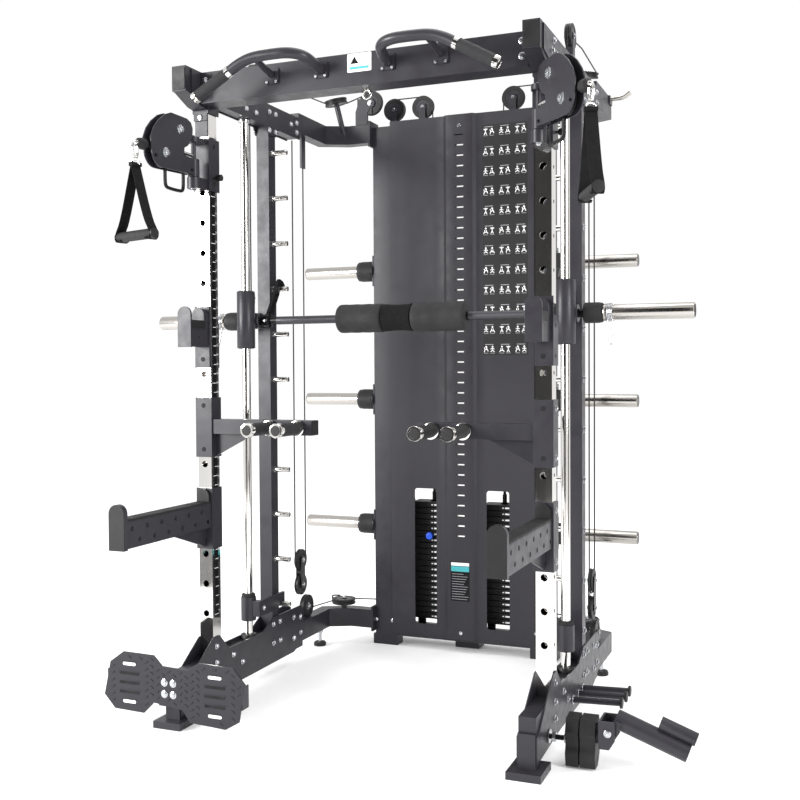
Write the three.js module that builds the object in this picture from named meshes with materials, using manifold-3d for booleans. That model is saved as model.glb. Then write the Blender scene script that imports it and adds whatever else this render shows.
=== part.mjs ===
// Smith machine with a cable trainer, in millimetres, +Z up, +X to the viewer's right, +Y to the back.
// Distances along Y are measured from the front face of the front uprights, and along X from the middle of
// the frame; the last lines centre the machine on the origin. Touching pieces keep a gap of GAP.
import * as THREE from "three";
import { mergeVertices } from "three/addons/utils/BufferGeometryUtils.js";
import Module from "manifold-3d";

const wasm = await Module();
wasm.setup();

// ---- driving dimensions -------------------------------------------------------------------------
const GAP = 0.3;
const HALF_SPAN = 578; // centre of the machine to the centre of an upright
const TUBE = 50; // square tube of the uprights
const UPRIGHT_BOTTOM = 165;
const UPRIGHT_TOP = 2020;
const HOLE_PITCH = 100;
const FIRST_HOLE = 316;
const HOLE_COUNT = 16;
const REAR_UPRIGHT_Y = 427;
const ROD_Y = 274;
const ROD_R = 15;
const BAR_Y = 330;
const BAR_Z = 1305;
const PEG_PITCH = 166;
const FIRST_PEG = 263;
const PEG_COUNT = 11;
const HOOKED_PEG = 7; // the peg that the bar hangs on
const RAIL_REAR = 640; // rear end of the side frames
const CROSS_Y = 943; // centre of the rear crossmembers where they meet the tower
const PANEL_Y = 943; // front face of the shroud
const STACK_X = 150;
const STACK_Y = 1044;
const LOOP_Y = 675; // centre of the floating pulleys
const PULLEY_R = 42;
const POST_IN = 300; // the weight tower's posts, from the middle
const POST_OUT = 375;
const POST_BACK = 1004;
const POST_TOP = 2112;
const BEAM_LOW = 2062;
const BEAM_BACK = 1074;
const HANGER_Z = 1922; // lower end of the plates that the loop cables hang on
const WHEEL_Y = 350; // the wheel on each top frame
const WHEEL_R = 36;
const CABLE_R = 2.5;
const COUNTER_Y = WHEEL_Y - WHEEL_R - CABLE_R; // the cable from that wheel down to the bar's carriage
const SIDES = { left: -1, right: 1 };

// ---- materials ----------------------------------------------------------------------------------
const material = (color, roughness, metalness) =>
  new THREE.MeshStandardMaterial({ color, roughness, metalness });
const POWDER = material(0x4a484f, 0.55, 0.3);
const CHROME = material(0xd4d2cf, 0.15, 1);
const BLACK = material(0x1b1b1d, 0.8, 0);
const IRON = material(0x232325, 0.6, 0.4);
const BLUE = material(0x2458c8, 0.4, 0);

// ---- shape helpers ------------------------------------------------------------------------------
function solid(geometry) {
  const bare = geometry.index ? geometry.toNonIndexed() : geometry.clone();
  bare.deleteAttribute("normal");
  bare.deleteAttribute("uv");
  const merged = mergeVertices(bare, 1e-3);
  return new wasm.Manifold(
    new wasm.Mesh({
      numProp: 3,
      vertProperties: merged.attributes.position.array,
      triVerts: new Uint32Array(merged.index.array),
    }),
  );
}

function geometryOf(body) {
  const mesh = body.getMesh();
  const geometry = new THREE.BufferGeometry();
  geometry.setAttribute("position", new THREE.BufferAttribute(mesh.vertProperties, 3));
  geometry.setIndex(new THREE.BufferAttribute(mesh.triVerts, 1));
  const flat = geometry.toNonIndexed();
  flat.computeVertexNormals();
  return flat;
}

const join = (pieces) => pieces.reduce((whole, piece) => whole.add(piece));
const cut = (body, tools) => (tools.length ? body.subtract(join(tools)) : body);

// A box between two corners, given as pairs of limits along each axis in any order.
function block([x0, x1], [y0, y1], [z0, z1]) {
  const size = [x1 - x0, y1 - y0, z1 - z0].map(Math.abs);
  return solid(
    new THREE.BoxGeometry(...size).translate((x0 + x1) / 2, (y0 + y1) / 2, (z0 + z1) / 2),
  );
}

// A cylinder between two points; its sides are flat, and `sides` of them go round.
function rod(from, to, radius, sides = 16, endRadius = radius) {
  const start = new THREE.Vector3(...from);
  const end = new THREE.Vector3(...to);
  const axis = end.clone().sub(start);
  const geometry = new THREE.CylinderGeometry(endRadius, radius, axis.length(), sides);
  geometry.rotateY(Math.PI / sides);
  const turn = new THREE.Quaternion().setFromUnitVectors(
    new THREE.Vector3(0, 1, 0),
    axis.normalize(),
  );
  geometry.applyQuaternion(turn);
  const middle = start.add(end).multiplyScalar(0.5);
  return solid(geometry.translate(middle.x, middle.y, middle.z));
}

function shapeOf(points) {
  return new THREE.Shape(points.map(([u, v]) => new THREE.Vector2(u, v)));
}

// An outline in (y, z), extruded along x from x0 to x1.
function sidePlate(outline, x0, x1) {
  const shape = Array.isArray(outline) ? shapeOf(outline) : outline;
  const low = Math.min(x0, x1);
  const geometry = new THREE.ExtrudeGeometry(shape, {
    depth: Math.abs(x1 - x0),
    bevelEnabled: false,
    curveSegments: 5,
  });
  geometry.applyMatrix4(new THREE.Matrix4().set(0, 0, 1, low, 1, 0, 0, 0, 0, 1, 0, 0, 0, 0, 0, 1));
  return solid(geometry);
}

// An outline in (x, z), extruded along y from y0 to y1.
function frontPlate(outline, y0, y1) {
  const shape = Array.isArray(outline) ? shapeOf(outline) : outline;
  const geometry = new THREE.ExtrudeGeometry(shape, {
    depth: y1 - y0,
    bevelEnabled: false,
    curveSegments: 5,
  });
  geometry.applyMatrix4(new THREE.Matrix4().set(1, 0, 0, 0, 0, 0, -1, y1, 0, 1, 0, 0, 0, 0, 0, 1));
  return solid(geometry);
}

// An outline in (x, y), extruded along z from z0 to z1.
function flatPlate(outline, z0, z1) {
  const shape = Array.isArray(outline) ? shapeOf(outline) : outline;
  const geometry = new THREE.ExtrudeGeometry(shape, {
    depth: z1 - z0,
    bevelEnabled: false,
    curveSegments: 5,
  });
  return solid(geometry.translate(0, 0, z0));
}

// A round bar swept along a path of points with rounded corners.
function bentRod(points, radius, steps, sides = 10, tension = 0.35) {
  const path = new THREE.CatmullRomCurve3(
    points.map((p) => new THREE.Vector3(...p)),
    false,
    "catmullrom",
    tension,
  );
  const section = new THREE.Shape();
  for (let i = 0; i <= sides; i++) {
    const angle = (2 * Math.PI * i) / sides;
    const x = radius * Math.cos(angle);
    const y = radius * Math.sin(angle);
    if (i) section.lineTo(x, y);
    else section.moveTo(x, y);
  }
  return solid(new THREE.ExtrudeGeometry(section, { extrudePath: path, steps }));
}

const machine = new THREE.Group();

function add(name, body, look, parent = machine) {
  const mesh = new THREE.Mesh(geometryOf(body), look);
  mesh.name = name;
  parent.add(mesh);
  return mesh;
}

// Limits along x of a piece that stands off an upright's centre by a and b, on the given side.
const across = (side, a, b) => [side * HALF_SPAN + a, side * HALF_SPAN + b];
const HALF = TUBE / 2;
const PLATE = 4;
const CHEEK_IN = HALF + GAP; // inner face of a plate that hugs a 50 mm tube
const CHEEK_OUT = CHEEK_IN + PLATE;
const holeZ = (i) => FIRST_HOLE + HOLE_PITCH * i;
const pegZ = (i) => FIRST_PEG + PEG_PITCH * i;

// ---- side frames --------------------------------------------------------------------------------
function baseFrame(side) {
  const x = side * HALF_SPAN;
  const cheek = [
    [-195, 34], [60, 46], [560, 46], [RAIL_REAR, 74], [RAIL_REAR, 196], [612, 214], [400, 214],
    [330, 178], [95, 178], [35, 236], [-5, 236], [-168, 120], [-195, 110],
  ];
  const rail = block([x - CHEEK_IN, x + CHEEK_IN], [-190, RAIL_REAR], [50, UPRIGHT_BOTTOM - GAP]);
  const nose = block([x - CHEEK_IN, x + CHEEK_IN], [-200, -150], [10, 120]);
  const foot = block([x - 50, x + 50], [-235, -120], [0, 22]);
  const collar = rod([x, ROD_Y, 150], [x, ROD_Y, 182], 28, 14);
  const pieces = [
    sidePlate(cheek, x - CHEEK_OUT, x - CHEEK_IN + 0.1),
    sidePlate(cheek, x + CHEEK_IN - 0.1, x + CHEEK_OUT),
    rail, nose, foot, collar,
  ];
  for (const [y, z] of [[385, 84], [322, 84], [243, 88]]) {
    const root = x + side * (CHEEK_OUT - 1);
    pieces.push(rod([root, y, z], [root + side * 150, y, z + 6], 9, 8));
    pieces.push(rod([root + side * 150, y, z + 6], [root + side * 156, y, z + 6], 16, 10));
  }
  const well = rod([x, ROD_Y, UPRIGHT_BOTTOM], [x, ROD_Y, 200], ROD_R + 0.5, 14);
  return cut(join(pieces), [well]);
}

function topFrame(side) {
  const x = side * HALF_SPAN;
  const cheek = [
    [-100, 2024], [-10, 2004], [-8, 1975], [58, 1975], [62, 2016], [385, 2016], [400, 1988],
    [456, 1988], [470, 2016], [RAIL_REAR, 2016], [RAIL_REAR, 2096], [-100, 2096],
  ];
  const rail = block([x - CHEEK_IN, x + CHEEK_IN], [-130, RAIL_REAR], [UPRIGHT_TOP + GAP, 2100]);
  const brow = sidePlate(
    [[-126, 2030], [-126, 2024], [-44, 1990], [-8, 1985], [-8, 1952], [-3, 1952], [-3, 2030]],
    x - CHEEK_IN, x + CHEEK_IN,
  );
  const wheelBracket = block([x - 12, x + 12], [WHEEL_Y - 15, WHEEL_Y + 15], [2095, 2200]);
  const wheel = rod([x - 10, WHEEL_Y, 2190], [x + 10, WHEEL_Y, 2190], WHEEL_R, 14);
  const well = rod([x, ROD_Y, 2000], [x, ROD_Y, 2060], ROD_R + 0.5, 14);
  const cableHole = rod([x, COUNTER_Y, 2000], [x, COUNTER_Y, 2101], 5, 8);
  const cheeks = [
    sidePlate(cheek, x - CHEEK_OUT, x - CHEEK_IN + 0.1),
    sidePlate(cheek, x + CHEEK_IN - 0.1, x + CHEEK_OUT),
  ];
  return cut(join([rail, brow, wheelBracket, wheel, ...cheeks]), [well, cableHole]);
}

function frontUpright(side) {
  const x = side * HALF_SPAN;
  const post = block([x - HALF, x + HALF], [0, TUBE], [UPRIGHT_BOTTOM, UPRIGHT_TOP]);
  const holes = [];
  for (let i = 0; i < HOLE_COUNT; i++) {
    holes.push(rod([x, -1, holeZ(i)], [x, TUBE + 1, holeZ(i)], 11, 8));
  }
  return cut(post, holes);
}

function rearUpright(side) {
  const x = side * HALF_SPAN;
  const inner = x - side * HALF;
  const y = REAR_UPRIGHT_Y;
  const pieces = [block([x - HALF, x + HALF], [y - HALF, y + HALF], [UPRIGHT_BOTTOM, UPRIGHT_TOP])];
  for (let i = 0; i < PEG_COUNT; i++) {
    pieces.push(rod([x, y, pegZ(i)], [inner - side * 62, y, pegZ(i)], 9, 8));
  }
  return join(pieces);
}

for (const [name, side] of Object.entries(SIDES)) {
  const x = side * HALF_SPAN;
  add("base_frame_" + name, baseFrame(side), POWDER);
  add("top_frame_" + name, topFrame(side), POWDER);
  add("front_upright_" + name, frontUpright(side), CHROME);
  add("rear_upright_" + name, rearUpright(side), POWDER);
  add("guide_rod_" + name, rod([x, ROD_Y, UPRIGHT_BOTTOM + GAP], [x, ROD_Y, 2059], ROD_R, 14), CHROME);
}

// ---- cross members ------------------------------------------------------------------------------
function frontCrossbeam() {
  const reach = HALF_SPAN - CHEEK_OUT - GAP;
  const beam = block([-reach, reach], [-50, 30], [1995, 2095]);
  const eye = solid(new THREE.TorusGeometry(13, 3.5, 6, 12).rotateX(Math.PI / 2).translate(25, -10, 1977));
  const shank = rod([25, -10, 1989], [25, -10, 2000], 5, 8);
  return join([beam, eye, shank]);
}

function pullUpBar(side) {
  const bend = (x, y, z) => [side * x, y, z];
  const tube = bentRod(
    [
      bend(112, -50 - GAP, 2055), bend(122, -118, 2072), bend(165, -165, 2084),
      bend(290, -168, 2082), bend(366, -167, 2050), bend(500, -167, 1976),
    ],
    16, 15, 9,
  );
  const strut = rod(bend(275, -163, 2078), bend(283, -50 - GAP, 2056), 10, 8);
  const feet = [112, 283].map((x) =>
    block([side * x - 24, side * x + 24], [-55, -50 - GAP], [2030, 2080]),
  );
  const beam = block([side * 60, side * 340], [-50 - GAP, 0], [1990, 2120]);
  return cut(join([tube, strut, ...feet]), [beam]);
}

// Half of a rear crossmember: it runs back from a side frame, turns in, and ends in a plate on the tower's post.
function rearArm(side, z0, z1) {
  const inner = HALF_SPAN - HALF;
  const outer = HALF_SPAN + HALF;
  const front = CROSS_Y - HALF;
  const back = CROSS_Y + HALF;
  const end = POST_OUT + GAP;
  const outline = [
    [inner, RAIL_REAR + GAP], [inner, 878], [472, front], [end, front],
    [end, back], [488, back], [outer, 909], [outer, RAIL_REAR + GAP],
  ];
  const plate = block([side * end, side * (end + 8)], [front, POST_BACK], [z0 - 14, z1 + 14]);
  return [flatPlate(outline.map(([x, y]) => [side * x, y]), z0, z1), plate];
}

// The two top arms meet in a beam behind the tower's posts, which carries the tower's wheels.
function topCrossmember() {
  const reach = POST_OUT + 8;
  const pieces = [block([-reach, reach], [POST_BACK + GAP, BEAM_BACK], [BEAM_LOW, POST_TOP])];
  for (const side of Object.values(SIDES)) {
    const x = side * HALF_SPAN;
    const outer = side * (POST_OUT + GAP);
    pieces.push(...rearArm(side, 2045, 2120));
    pieces.push(block([outer, side * reach], [POST_BACK - 1, BEAM_BACK], [BEAM_LOW, POST_TOP]));
    pieces.push(block([x - 4, x + 4], [LOOP_Y + PULLEY_R - 14, LOOP_Y + PULLEY_R + 18], [HANGER_Z, 2047]));
    pieces.push(rod([side * 490, 916, 2084], [side * 512, 891, 2210], 9, 8));
    pieces.push(rod([side * 511, 892, 2205], [side * 514, 889, 2223], PULLEY_R, 14));
    for (const wheelX of [191, 317]) pieces.push(...topWheel(side * wheelX, STACK_Y, 2198));
    pieces.push(rod([side * 374, 922, 2207], [side * 374, 940, 2207], PULLEY_R + 3, 14));
    pieces.push(block([side * 384, side * 436], [917, 923], [2119, 2180]));
    pieces.push(block([side * 366, side * 430], [917, 923], [2160, 2225]));
  }
  return join(pieces);
}

function baseCrossmember(side) {
  const x = side * HALF_SPAN;
  const y = LOOP_Y - PULLEY_R + 90;
  return join([
    ...rearArm(side, 69, 143),
    rod([side * 506, 920, 142], [side * 506, 920, 170], 11, 8),
    rod([side * 506, 920, 162], [side * 506, 920, 182], PULLEY_R + 3, 14),
    rod([x, 840, 0], [x, 840, 14], 24, 12),
    rod([x, 840, 13], [x, 840, 71], 7, 6),
    block([x - 4, x + 4], [y - 20, y + 20], [140, 190]),
    rod([x - 8, y, 186], [x + 8, y, 186], PULLEY_R, 14),
  ]);
}

add("front_crossbeam", frontCrossbeam(), POWDER);
add("top_crossmember", topCrossmember(), POWDER);
for (const [name, side] of Object.entries(SIDES)) {
  add("base_crossmember_" + name, baseCrossmember(side), POWDER);
}
for (const [name, side] of Object.entries(SIDES)) {
  add("pull_up_bar_" + name, pullUpBar(side), POWDER);
}

// ---- weight tower -------------------------------------------------------------------------------
const HORN_Y = 974;
const HORN_Z = [490, 1005, 1530];
const PANEL_BOTTOM = 52;
const PANEL_TOP = 2128;

function weightTower() {
  const pieces = [
    block([-POST_OUT, POST_OUT], [948, 1090], [40, 60]),
    block([-POST_OUT, POST_OUT], [966, POST_BACK], [2080, POST_TOP]),
    block([-50, 50], [1010, 1080], [0, 41]),
  ];
  for (const side of Object.values(SIDES)) {
    const outer = side * POST_OUT;
    pieces.push(block([side * POST_IN, outer], [948, POST_BACK], [59, POST_TOP]));
    pieces.push(block([side * 278, side * 385], [948, POST_BACK], [0, 41]));
    for (const z of HORN_Z) {
      pieces.push(block([outer, outer + side * 6], [HORN_Y - 28, HORN_Y + 28], [z - 62, z + 62]));
      pieces.push(rod([outer, HORN_Y, z], [side * 690, HORN_Y, z], 24, 12));
      pieces.push(rod([outer + side * 5, HORN_Y, z], [side * 448, HORN_Y, z], 40, 12));
    }
  }
  return join(pieces);
}

// An upright wheel between two ears that stand on the tower's top.
function topWheel(x, y, z) {
  return [
    rod([x, y - 9, z], [x, y + 9, z], PULLEY_R, 14),
    block([x - 13, x + 13], [y - 14, y - 8], [2090, z + 8]),
    block([x - 13, x + 13], [y + 8, y + 14], [2090, z + 8]),
  ];
}

function shroudPanel() {
  const half = 297;
  const t = 2.5;
  const front = [
    [-half, PANEL_Y + 5 - GAP], [-half, PANEL_Y], [-70, PANEL_Y], [-52, PANEL_Y - 12],
    [52, PANEL_Y - 12], [70, PANEL_Y], [half, PANEL_Y], [half, PANEL_Y + 5 - GAP],
  ];
  const back = front.map(([x, y], i) => {
    const edge = i === 0 || i === front.length - 1;
    const corner = i === 1 || i === front.length - 2;
    const inward = edge || corner ? x - Math.sign(x) * t : x;
    return [inward, edge ? y : y + t];
  });
  const skin = flatPlate([...front, ...back.reverse()], PANEL_BOTTOM, PANEL_TOP);
  const tools = [];
  for (const side of Object.values(SIDES)) {
    tools.push(block([side * 105, side * 198], [900, 1000], [100, 648]));
  }
  return cut(skin, tools);
}

const PLATE_PITCH = 24;
const LOWER_PLATES = 14;
const LIFTED_PLATES = 6;
const STACK_BOTTOM = 108;
const SPLIT_Z = STACK_BOTTOM + LOWER_PLATES * PLATE_PITCH;

// Iron plates between the two guide rods, held together by a narrow core.
function plates(side, first, count) {
  const x = side * STACK_X;
  const pieces = [];
  for (let i = 0; i < count; i++) {
    const z = first + i * PLATE_PITCH;
    pieces.push(
      block([x - 82, x + 82], [STACK_Y - 44, STACK_Y + 44], [z + GAP, z + PLATE_PITCH - 2]),
    );
  }
  const top = first + count * PLATE_PITCH - 2;
  pieces.push(block([x - 70, x + 70], [STACK_Y - 34, STACK_Y + 34], [first + GAP, top]));
  return join(pieces);
}

function liftedPlates(side) {
  const x = side * STACK_X;
  const top = SPLIT_Z + LIFTED_PLATES * PLATE_PITCH;
  const stem = rod([x, STACK_Y, top - 8], [x, STACK_Y, top + 60], 9, 8);
  const slot = block([x - 5.5, x + 5.5], [STACK_Y - 50, STACK_Y - 14], [SPLIT_Z - 1, SPLIT_Z + 12]);
  return cut(join([plates(side, SPLIT_Z, LIFTED_PLATES), stem]), [slot]);
}

function stackGuides(side) {
  const x = side * STACK_X;
  const pieces = [
    block([x - 112, x + 112], [STACK_Y - 12, STACK_Y + 12], [60 + GAP, 78]),
    block([x - 112, x + 112], [STACK_Y - 12, STACK_Y + 12], [2042, 2062 - GAP]),
    rod([x - 60, STACK_Y, 76], [x - 60, STACK_Y, STACK_BOTTOM], 16, 8),
    rod([x + 60, STACK_Y, 76], [x + 60, STACK_Y, STACK_BOTTOM], 16, 8),
  ];
  for (const dx of [-95, 95]) {
    pieces.push(rod([x + dx, STACK_Y, 70], [x + dx, STACK_Y, 2050], 10, 10));
  }
  return join(pieces);
}

function selectorPin(side) {
  const x = side * STACK_X;
  const z = SPLIT_Z + 6;
  const face = STACK_Y - 44;
  return join([
    rod([x, face - 23, z], [x, face - 4, z], 14, 12),
    rod([x, face - 5, z], [x, face + 22, z], 4, 8),
  ]);
}

add("weight_tower", weightTower(), POWDER);
add("shroud_panel", shroudPanel(), POWDER);
for (const [name, side] of Object.entries(SIDES)) {
  add("stack_guides_" + name, stackGuides(side), CHROME);
  add("lower_plates_" + name, plates(side, STACK_BOTTOM, LOWER_PLATES), IRON);
  add("lifted_plates_" + name, liftedPlates(side), IRON);
  add("selector_pin_" + name, selectorPin(side), BLUE);
}

// ---- cables and floating pulleys ----------------------------------------------------------------
const LUG_TOP = BAR_Z + 100; // the carriage's lug that the counter cable lifts
const BLOCK_TOP = 380;
const BLOCK_LOW = 283;

function floatingPulleys(side) {
  const x = side * HALF_SPAN;
  const pieces = [];
  for (const z of [BLOCK_TOP, BLOCK_LOW]) {
    pieces.push(rod([x - 7, LOOP_Y, z], [x + 7, LOOP_Y, z], PULLEY_R - 1, 14));
    pieces.push(rod([x - 15, LOOP_Y, z], [x + 15, LOOP_Y, z], 8, 8));
  }
  for (const dx of [-11, 7]) {
    pieces.push(block([x + dx, x + dx + 4], [LOOP_Y - 14, LOOP_Y + 14], [BLOCK_LOW - 18, BLOCK_TOP + 18]));
  }
  return join(pieces);
}

// The cable from the side frame down round the upper floating wheel and up to the hanger plate.
function loopCable(side) {
  const x = side * HALF_SPAN;
  const reach = PULLEY_R + CABLE_R;
  const turn = [];
  for (let i = 0; i <= 6; i++) {
    const angle = Math.PI + (Math.PI * i) / 6;
    turn.push([x, LOOP_Y + reach * Math.cos(angle), BLOCK_TOP + reach * Math.sin(angle)]);
  }
  return join([
    rod([x, LOOP_Y - reach, BLOCK_TOP - 1], [x, LOOP_Y - reach, UPRIGHT_TOP - 4 - GAP], CABLE_R, 6),
    rod([x, LOOP_Y + reach, BLOCK_TOP - 1], [x, LOOP_Y + reach, HANGER_Z - GAP], CABLE_R, 6),
    bentRod(turn, CABLE_R, 8, 6, 0.5),
  ]);
}

function counterCable(side) {
  const x = side * HALF_SPAN;
  return rod([x, COUNTER_Y, LUG_TOP + GAP], [x, COUNTER_Y, 2190], CABLE_R, 8);
}

for (const [name, side] of Object.entries(SIDES)) {
  add("floating_pulleys_" + name, floatingPulleys(side), BLACK);
  add("loop_cable_" + name, loopCable(side), BLACK);
}

// ---- smith bar ----------------------------------------------------------------------------------
const BAR_R = 14;
const SLEEVE_R = 25;
const BAR_HALF = 972;
const SLEEVE_START = 690;

function carriage(side) {
  const x = side * HALF_SPAN;
  const low = BAR_Z - 99;
  const high = BAR_Z + 103;
  const shell = join([
    rod([x, ROD_Y, low], [x, ROD_Y, high], 32, 18),
    rod([x - 30, BAR_Y, BAR_Z], [x + 30, BAR_Y, BAR_Z], 29, 16),
    block([x - 22, x + 22], [ROD_Y, BAR_Y], [BAR_Z - 27, BAR_Z + 27]),
    block([x - 10, x + 10], [ROD_Y + 20, ROD_Y + 48], [BAR_Z + 60, LUG_TOP]),
  ]);
  return cut(shell, [
    rod([x, ROD_Y, low - 1], [x, ROD_Y, high + 1], ROD_R + 0.8, 14),
    rod([x - 40, BAR_Y, BAR_Z], [x + 40, BAR_Y, BAR_Z], BAR_R + 1, 14),
  ]);
}

// The catch that hangs the bar on a peg: an arm from the bar, and a finger over the peg.
function catchPlate(side) {
  const dy = REAR_UPRIGHT_Y - BAR_Y;
  const dz = pegZ(HOOKED_PEG) - BAR_Z;
  const reach = Math.hypot(dy, dz);
  const angle = Math.atan2(dz, dy);
  const polar = (radius, degrees) => {
    const a = angle + THREE.MathUtils.degToRad(degrees);
    return [BAR_Y + radius * Math.cos(a), BAR_Z + radius * Math.sin(a)];
  };
  const outline = [
    polar(20, -60), polar(60, -4), polar(reach - 30, 1), polar(reach - 8, 4.5), polar(reach + 10, 4.5),
    polar(reach + 10, -5), polar(reach + 17, -6), polar(reach + 26, -2), polar(reach + 28, 4),
    polar(reach + 22, 11), polar(reach + 4, 13), polar(60, 20), polar(20, 60),
  ];
  const x = side * (HALF_SPAN - 45);
  return join([
    sidePlate(outline, x - side * 6, x - side * 18),
    rod([x, BAR_Y, BAR_Z], [x - side * 24, BAR_Y, BAR_Z], 24, 14),
  ]);
}

function smithBar() {
  const pieces = [rod([-BAR_HALF + 12, BAR_Y, BAR_Z], [BAR_HALF - 12, BAR_Y, BAR_Z], BAR_R, 14)];
  for (const side of Object.values(SIDES)) {
    pieces.push(catchPlate(side));
    pieces.push(rod([side * 627, BAR_Y, BAR_Z], [side * (SLEEVE_START - 1), BAR_Y, BAR_Z], 33, 14));
  }
  return join(pieces);
}

function sleeve(side) {
  const tube = rod(
    [side * SLEEVE_START, BAR_Y, BAR_Z], [side * BAR_HALF, BAR_Y, BAR_Z], SLEEVE_R, 18,
  );
  const bore = rod(
    [side * (SLEEVE_START - 1), BAR_Y, BAR_Z], [side * (BAR_HALF - 6), BAR_Y, BAR_Z], BAR_R + 1, 14,
  );
  return cut(tube, [bore]);
}

// Foam round the bar, a little slimmer in the middle where the band goes.
function barPad() {
  const half = 233;
  const bore = BAR_R + GAP;
  const profile = [
    [bore, -half], [49, -half], [49, -64], [45, -42], [45, 42], [49, 64], [49, half], [bore, half],
    [bore, -half],
  ].map(([r, u]) => new THREE.Vector2(r, u));
  const geometry = new THREE.LatheGeometry(profile, 16);
  geometry.rotateZ(-Math.PI / 2);
  return solid(geometry.translate(0, BAR_Y, BAR_Z));
}

add("smith_bar", smithBar(), BLACK);
add("bar_pad", barPad(), BLACK);
for (const [name, side] of Object.entries(SIDES)) {
  add("carriage_" + name, carriage(side), POWDER);
  add("bar_sleeve_" + name, sleeve(side), CHROME);
  add("counter_cable_" + name, counterCable(side), BLACK);
}

function lowerStop(side) {
  const x = side * HALF_SPAN;
  const shell = join([
    rod([x, ROD_Y, 232], [x, ROD_Y, 316], 27, 16),
    block([x - side * 20, x - side * 52], [ROD_Y - 12, ROD_Y + 14], [248, 304]),
    sidePlate(
      [
        [ROD_Y - 12, 248], [REAR_UPRIGHT_Y - 24, 248], [REAR_UPRIGHT_Y - 24, 262],
        [REAR_UPRIGHT_Y - 12, 262], [REAR_UPRIGHT_Y - 12, 274], [REAR_UPRIGHT_Y + 12, 274],
        [REAR_UPRIGHT_Y + 12, 258], [REAR_UPRIGHT_Y + 22, 258], [REAR_UPRIGHT_Y + 22, 304],
        [ROD_Y - 12, 304],
      ],
      x - side * 40, x - side * 52,
    ),
    rod([x, ROD_Y, 315], [x, ROD_Y, 326], 22, 14),
  ]);
  return cut(shell, [rod([x, ROD_Y, 220], [x, ROD_Y, 340], ROD_R + 0.8, 14)]);
}

// ---- attachments on the front uprights ----------------------------------------------------------
// Three walls of 5 mm that wrap an upright's front and both sides.
function saddle(side, z0, z1, back = 54) {
  const t = 5;
  const x = side * HALF_SPAN;
  const inner = HALF + 0.5;
  return [
    block([x - inner - t, x + inner + t], [-0.5 - t, -0.5], [z0, z1]),
    block([x - inner - t, x - inner], [-0.6, back], [z0, z1]),
    block([x + inner, x + inner + t], [-0.6, back], [z0, z1]),
  ];
}

// A plate in the xz plane whose top is half a circle.
function roundTopped(x, half, low, top) {
  const shape = new THREE.Shape();
  shape.moveTo(x - half, low);
  shape.lineTo(x + half, low);
  shape.absarc(x, top - half, half, 0, Math.PI);
  shape.lineTo(x - half, low);
  return shape;
}

function jHook(side) {
  const x = side * HALF_SPAN;
  const w = 25;
  const outer = side * (HALF + 0.5);
  const wall = side * (HALF + 5.5);
  return join([
    block([x - side * w, x + wall], [-5.5, -0.5], [1137, 1340]),
    block([x + outer, x + wall], [-1, 55.5], [1137, 1285]),
    block([x - side * w, x + wall], [50.5, 55.5], [1137, 1285]),
    block([x - w + 4, x + w - 4], [-108, -4], [1206, 1288]),
    frontPlate(roundTopped(x, w, 1204, 1335), -114, -106),
    frontPlate(roundTopped(x, w - 3, 1287, 1332), -30, -5),
  ]);
}

function dipBar(side) {
  const wall = side * (HALF_SPAN - HALF - 4);
  const pieces = [
    ...saddle(side, 840, 1038),
    block([wall, side * 180], [0, 48], [918, 966]),
    frontPlate([[wall, 842], [side * 400, 919], [wall, 919]], 20, 28),
  ];
  for (const x of [229, 331]) {
    pieces.push(rod([side * x, 4, 941], [side * x, -135, 941], 19, 10));
    pieces.push(rod([side * x, -134, 941], [side * x, -148, 941], 22, 10));
    pieces.push(rod([side * x, 2, 941], [side * x, -6, 941], 25, 10));
  }
  return join(pieces);
}

function spotterArm(side) {
  const x = side * HALF_SPAN;
  const arm = block([x - 25, x + 25], [-456, -4], [606, 684]);
  const holes = [];
  for (let y = -430; y <= -60; y += 74) {
    holes.push(rod([x - 30, y, 663], [x + 30, y, 663], 8, 6));
    holes.push(rod([x - 30, y + 37, 627], [x + 30, y + 37, 627], 8, 6));
  }
  return join([
    ...saddle(side, 534, 737),
    cut(arm, holes),
    frontPlate(roundTopped(x, 27, 602, 738), -472, -454),
    block([x - 24, x + 24], [-455, -5], [683, 692]),
    sidePlate([[-4, 540], [-4, 607], [-204, 607]], x - 4, x + 4),
  ]);
}

for (const [name, side] of Object.entries(SIDES)) {
  add("lower_stop_" + name, lowerStop(side), POWDER);
  add("j_hook_" + name, jHook(side), POWDER);
  add("dip_bar_" + name, dipBar(side), POWDER);
  add("spotter_arm_" + name, spotterArm(side), POWDER);
}

// ---- cable adjusters ----------------------------------------------------------------------------
const HEAD_Y = -50; // the head swivels about an upright line here
const HEAD_TURN = { left: 0, right: 40 }; // degrees outwards
const SLIDER_Z = { left: 1722, right: 1772 }; // lower edge of the slider
const PIN_ABOVE_EDGE = 44; // the pull pin's height above that edge

function adjusterSlider(side, z) {
  const x = side * HALF_SPAN;
  const lug = (z0, z1) => [
    block([x - 22, x + 22], [HEAD_Y, -4], [z0, z1]),
    rod([x, HEAD_Y, z0], [x, HEAD_Y, z1], 22, 12),
  ];
  const spigot = rod([x, HEAD_Y, z + 10], [x, HEAD_Y, z + 160], 8, 10);
  const body = join([...saddle(side, z, z + 172, 58), ...lug(z, z + 36), ...lug(z + 150, z + 166), spigot]);
  const bore = rod([x + HALF - 2, HALF, z + PIN_ABOVE_EDGE], [x + 60, HALF, z + PIN_ABOVE_EDGE], 4.8, 8);
  return cut(body, [bore]);
}

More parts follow.
